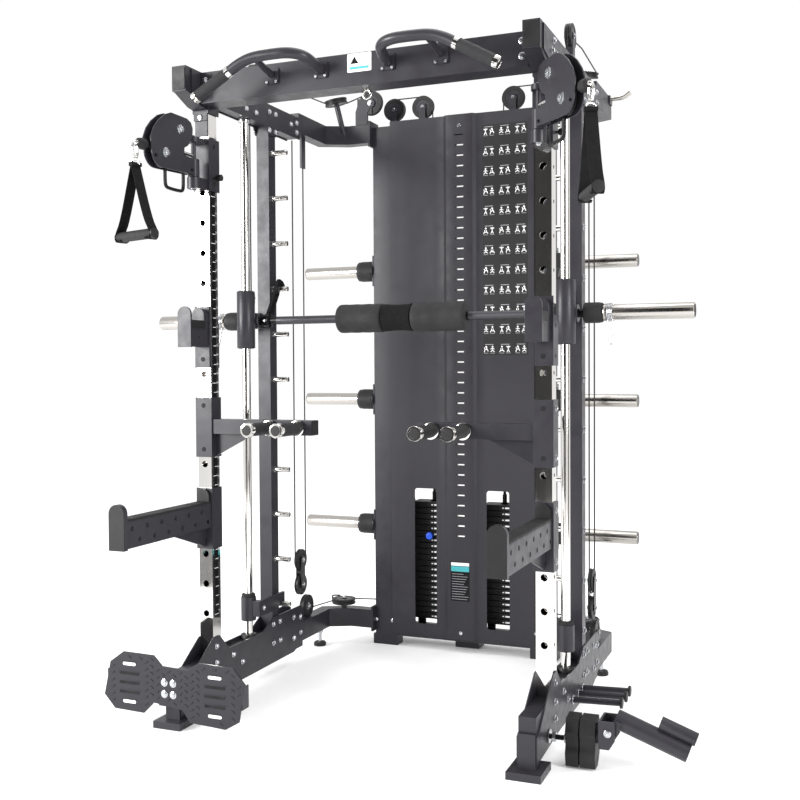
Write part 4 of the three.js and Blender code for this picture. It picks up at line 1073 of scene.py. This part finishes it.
def adjuster(name, side):
    x = side * HALF_SPAN
    z = SLIDER_Z[name]
    local = head_frame(name, side)
    body = "head_" + name
    head = Piece("head_fins_" + name, body, "powder_coat", 0.7, ["adjuster_head_" + name], local)
    for low in (-16, 12):
        head.prism(FIN, "yz", low, low + 4, POWDER)
    head.turned((0, 0, 37), UP, [(0, 17), (2, 19), (57, 19), (59, 17)], POWDER, 36)
    head.prism(rounded(-62, -8, 44, 86, 4), "yz", -11.8, 11.8, POWDER)
    head.sweep([(0, -60, 40), (0, -60, -2), (0, -64, -16), (0, -80, -20), (0, -142, -20), (0, -156, -16),
                (0, -160, -2), (0, -160, 40)], 5.6, BLACKENED, 18, 2)
    head.done()
    works = Piece("head_wheels_" + name, body, "nylon", 0, (), local)
    for y, h in ((-98, 172), (-176, 84)):
        works.pulley((0, y, h), ACROSS, WHEEL_R, 18, False)
        for way in (-1, 1):
            works.bolt((way * 16, y, h), (way, 0, 0), 12)
    works.rod((0, -90, 106), (0, -10, 106), 6, CHROME, 24)
    for way in (-1, 1):
        for y, h in ((-34, 54), (-230, 66)):
            works.bolt((way * 16, y, h), (way, 0, 0), 5, BLACKENED, False)
    works.done()
    slider = Piece("slider_trim_" + name, "slider_" + name, "bar_steel")
    for way in (-1, 1):
        slider.bolt((x, HEAD_Y, z + (166 if way > 0 else 0)), (0, 0, way), 8)
    # Dark discs of painted shade stand for holes.
    for h in (24, 148):
        slider.disc((x - side * 30, 25, z + h), (-side, 0, 0), 8, 0.9, HOLE_SHADE, 24)
    slider.disc((x, -5.4, z + 18), FORWARD, 6, 0.5, HOLE_SHADE, 24)
    slider.done()
    pin = Piece("pull_pin_" + name, "slider_pin_" + name, "nylon", 0, ["adjuster_pin_" + name])
    pin.turned((x + 26, 25, z + PIN_RISE), ACROSS,
               [(0, 3), (1, 4), (14, 4), (14, 8), (17, 10), (33, 10.6), (35, 8)], NYLON, 28)
    pin.done()
    ball = Piece("cable_ball_" + name, "cable_end_" + name, "nylon", 0, ["cable_end_" + name], local)
    ball.turned((0, -262, 92), FORWARD,
                [(0, 9), (3, 15), (9, 17.4), (20, 17.4), (32, 15), (37, 9), (40, 6)], RUBBER, 32)
    loop = [(-298, 92), (-316, 92), (-324, 82), (-326, 66), (-322, 50), (-313, 42), (-304, 46), (-300, 60),
            (-301, 80)]
    ball.sweep([(0, u, v) for u, v in loop], 3.8, CHROME, 14, 2)
    ball.rod((0, -298, 92), (0, -308, 92), 6.5, CHROME, 24, 1)
    ball.done()
    lead = Piece("pulled_cable_" + name, None, "cable", 0, (), local)
    lead.rod((0, -218, 92), (0, -264, 92), 2.6, CABLE, 12)
    stretched(lead)
    to_hook = Matrix.Translation((0, HOOK_Y, 0))
    hang = local @ to_hook @ turned_by(HANDLE_TURN[name], "Z") @ to_hook.inverted()
    handle = Piece("strap_webbing_" + name, "handle_" + name, "webbing", 0.4, (), hang)
    section = rounded(-1.6, 1.6, -17, 17, 1.5, 3)
    for end in (-386, -238):
        lean = -1 if end < -311 else 1
        path = [(0, -311, 24), (0, -311 + lean * 5, 8), (0, end - lean * 18, -140), (0, end + lean * 8, -178),
                (0, end + lean * 14, -194), (0, end + lean * 2, -206), (0, end - lean * 14, -200)]
        handle.sweep(path, 0, WEBBING, 12, 2, section)
    handle.box((-17.5, 17.5), (-320, -302), (18, 29), WEBBING)
    handle.done()
    ring = Piece("strap_ring_" + name, "handle_" + name, "chrome", 0, (), local)
    path = [(-14, 22), (-14, 33), (-8, 38), (8, 38), (14, 33), (14, 22)]
    ring.sweep([(u, HOOK_Y, v) for u, v in path], 3.2, CHROME, 14, 1)
    ring.done()
    grip = Piece("strap_grip_" + name, "handle_" + name, "nylon", 0, ["strap_handle_" + name], hang)
    grip.rod((0, -228, -188), (0, -396, -188), 15.4, GRIP, 36, 1.5)
    for start, way in ((-222, 1), (-402, -1)):
        grip.turned((0, start - way * 8, -188), (0, way, 0), [(0, 15.8), (5, 16), (8, 15), (8.4, 8)],
                    NYLON, 36)
    grip.done()


# ---- foot plate and landmine ---------------------------------------------------------------------
FOOT_OUTLINE = [
    (-227, 92), (-186, 50), (-76, 47), (-38, 84), (68, 72), (95, 36), (222, 30), (270, 58),
    (292, 176), (250, 222), (128, 226), (88, 200), (-6, 203), (-38, 234), (-152, 236), (-203, 200)]
FOOT_SLOTS = ((-130, 78), (185, 66))  # middle and height of the lowest slot


def foot_plate():
    """The tread plate: an outline with long slots drawn on its face, dark with painted shade in the middle
    rows and white in the end rows, and raised bars between them.
    """
    x = -HALF_SPAN
    plate = Piece("foot_plate_sheet", "frame", "powder_coat", 0.6, ["foot_plate"])
    plate.prism([(x + u, v) for u, v in FOOT_OUTLINE], "xz", -246, -241, TREAD)
    plate.box((x + 276, x + 281), (-243, -205), (95, 165), POWDER)
    plate.box((x - 216, x - 211), (-243, -205), (100, 175), POWDER)
    plate.box((x - 22, x + 22), (-242, -201), (76, 116), POWDER)
    plate.done()
    tread = Piece("foot_plate_tread", "frame", "powder_coat")
    for centre, low in FOOT_SLOTS:
        for row in range(5):
            v = low + 30 * row
            ends = row in (0, 4)
            reach = 24 if ends else 38
            slot = rounded(x + centre - reach, x + centre + reach, v - 5, v + 5, 4.9, 4)
            # The slots are thin prisms on the face, not cut through: the middle rows dark with painted shade,
            # the end rows white.
            tread.prism(slot, "xz", -246.4, -245.8, PRINT if ends else HOLE_SHADE)
            lip = rounded(x + centre - reach - 2, x + centre + reach + 2, v + 5.4, v + 8, 1.2, 2)
            tread.prism(lip, "xz", -247.6, -245.8, TREAD)
    for column in range(24):
        for row in range(9):
            u = -212 + column * 21
            v = 44 + row * 22 + (11 if column % 2 else 0)
            if not inside(u, v, FOOT_OUTLINE, 12) or near_slot(u, v):
                continue
            lean = math.radians(40 if column % 2 else -40)
            along = Vector((math.cos(lean), math.sin(lean))) * 9
            across = Vector((-along.y, along.x)) * 0.26
            base = [(a * along.x + b * across.x, a * along.y + b * across.y)
                    for a, b in ((-1, 0), (-0.4, 1), (0.4, 1), (1, 0), (0.4, -1), (-0.4, -1))]
            tread.loft([[(x + u + px, -245.8, v + pz) for px, pz in base],
                        [(x + u + px * 0.7, -248.2, v + pz * 0.6) for px, pz in base]], TREAD)
    for u in (2, 34):
        for v in (116, 152):
            tread.bolt((x + u, -246, v), FORWARD, 9)
    tread.done()


def inside(u, v, outline, margin):
    """Whether the four points a margin away from a point lie in an outline."""
    def hit(px, pv):
        odd = False
        for (x0, y0), (x1, y1) in zip(outline, outline[1:] + outline[:1]):
            if (y0 > pv) != (y1 > pv) and px < x0 + (pv - y0) / (y1 - y0) * (x1 - x0):
                odd = not odd
        return odd
    return all(hit(u + a * margin, v + b * margin) for a, b in ((1, 0), (-1, 0), (0, 1), (0, -1)))


def near_slot(u, v):
    for centre, low in FOOT_SLOTS:
        if abs(u - centre) < 52 and low - 14 < v < low + 134:
            return True
    return -18 < u < 54 and 100 < v < 168


def landmine():
    y = -63
    clamp = Piece("landmine_trim", "frame", "bar_steel")
    clamp.rod((MINE_X, y, 74), (MINE_X + 58, y, 74), 7.4, BLACKENED, 24)
    for u in (12, 46):
        clamp.disc((MINE_X + u, y, 74), ACROSS, 14, 9, ZINC, 6)
    clamp.disc((MINE_X + 2, y, 74), ACROSS, 20, 2, ZINC, 28)
    clamp.done()
    pivot = Matrix.Translation(MACHINE @ Vector(PIVOT))
    tilt = pivot @ turned_by(LANDMINE_TILT, "Y") @ Matrix.Scale(0.001, 4)
    tube = Piece("landmine_sleeves", "landmine", "powder_coat", 0, ["landmine_tube"], tilt)
    tube.ring((4, 0, 36), ACROSS, [(0, 23.5), (0, 26), (1, 27), (211, 27), (212, 26), (212, 23.5)],
              POWDER, 48)
    tube.disc((4.5, 0, 36), ACROSS, 24, 8, POWDER, 48)
    tube.ring((118, 0, 80), ACROSS, [(0, 15.5), (0, 18.4), (1, 19), (103, 19), (104, 18.2), (104, 15.5)],
              POWDER, 40)
    tube.box((124, 206), (-7, 7), (56, 68), POWDER)
    ear = [(-12, -14), (24, -14), (24, 40), (4, 40), (-12, 10)]
    for low in (-33, 27):
        tube.prism(ear, "xz", low, low + 6, POWDER)
    tube.bolt((0, -43, 0), FORWARD, 8)
    tube.bolt((0, 43, 0), (0, 1, 0), 8)
    tube.rod((0, -43, 0), (0, 43, 0), 6.2, ZINC, 24)
    tube.done()


# ---- stage ---------------------------------------------------------------------------------------
def light(name, spot, aim, size, power):
    data = bpy.data.lights.new(name, "AREA")
    data.shape = "RECTANGLE"
    data.size, data.size_y = size
    data.energy = power
    lamp = bpy.data.objects.new(name, data)
    way = Vector(aim) - Vector(spot)
    lamp.matrix_world = Matrix.Translation(spot) @ way.to_track_quat("-Z", "Y").to_matrix().to_4x4()
    lamp.visible_camera = False
    bpy.context.scene.collection.objects.link(lamp)


def sheet(name, corners, material):
    mesh = bpy.data.meshes.new(name)
    mesh.from_pydata(corners, [], [range(len(corners))])
    mesh.materials.append(material)
    made = bpy.data.objects.new(name, mesh)
    bpy.context.scene.collection.objects.link(made)
    return made


def flag(name, corners):
    """A black card that only shows in reflections, as a studio's flags do."""
    card = sheet(name, corners, coated(name + "_cloth", (0.02, 0.02, 0.02), 0.9).material)
    card.visible_camera = False
    card.visible_diffuse = False
    card.visible_shadow = False
    card.visible_transmission = False


def studio():
    reach = 30
    white = coated("studio_floor", (0.95, 0.95, 0.95), 0.8, 0, 0.01, 30.0, 0.05)
    white.surface.inputs["Emission Color"].default_value = (1, 1, 1, 1)
    white.surface.inputs["Emission Strength"].default_value = 0.1
    sheet("floor", [(-reach, -reach, -0.001), (reach, -reach, -0.001), (reach, reach, -0.001),
                    (-reach, reach, -0.001)], white.material)
    flag("front_flag", [(-2.2, -4.6, 0.1), (2.6, -4.6, 0.1), (2.6, -4.6, 5), (-2.2, -4.6, 5)])
    flag("floor_flag", [(-4.5, -4.2, 0.01), (-1.2, -4.2, 0.01), (-1.0, -1.9, 0.01), (-4.0, -1.9, 0.01)])
    flag("side_flag", [(3.6, -1.0, 0.1), (3.6, 0.6, 0.1), (3.6, 0.6, 5), (3.6, -1.0, 5)])
    world = bpy.data.worlds.new("studio")
    bpy.context.scene.world = world
    world.use_nodes = True
    world.node_tree.nodes["Background"].inputs["Color"].default_value = (1, 1, 1, 1)
    world.node_tree.nodes["Background"].inputs["Strength"].default_value = 1.02
    light("key", (-4.0, -4.2, 2.1), (-0.4, 0, 1.2), (2.2, 2.6), 520)
    light("fill", (4.2, -2.0, 2.0), (0.4, 0, 1.0), (1.2, 2.6), 160)
    light("top", (0.2, 0.4, 4.6), (0, 0.2, 0), (3.2, 2.4), 60)
    bpy.context.scene.view_settings.view_transform = "Standard"


# ---- everything ----------------------------------------------------------------------------------
add_camera()
for label in SIDES:
    finish_cad([n + label for n in ("base_frame_", "top_frame_", "rear_upright_", "j_hook_", "dip_bar_",
                                    "spotter_arm_", "adjuster_slider_", "lower_stop_")], POWDER)
finish_cad(["front_crossbeam", "top_crossmember", "base_crossmember_left", "base_crossmember_right",
            "weight_tower", "landmine_bracket"], POWDER)
finish_cad(["landmine_clamp"], NYLON, 2.5)
for make in (front_upright, guide_rod, rear_pegs, frame_bolts, pull_up_bar, rear_wheels, stack, cables,
             carriage, bar_sleeve, attachments, adjuster):
    both_sides(make)
front_beam()
tower()
shroud()
printed()
bar()
foot_plate()
landmine()
studio()
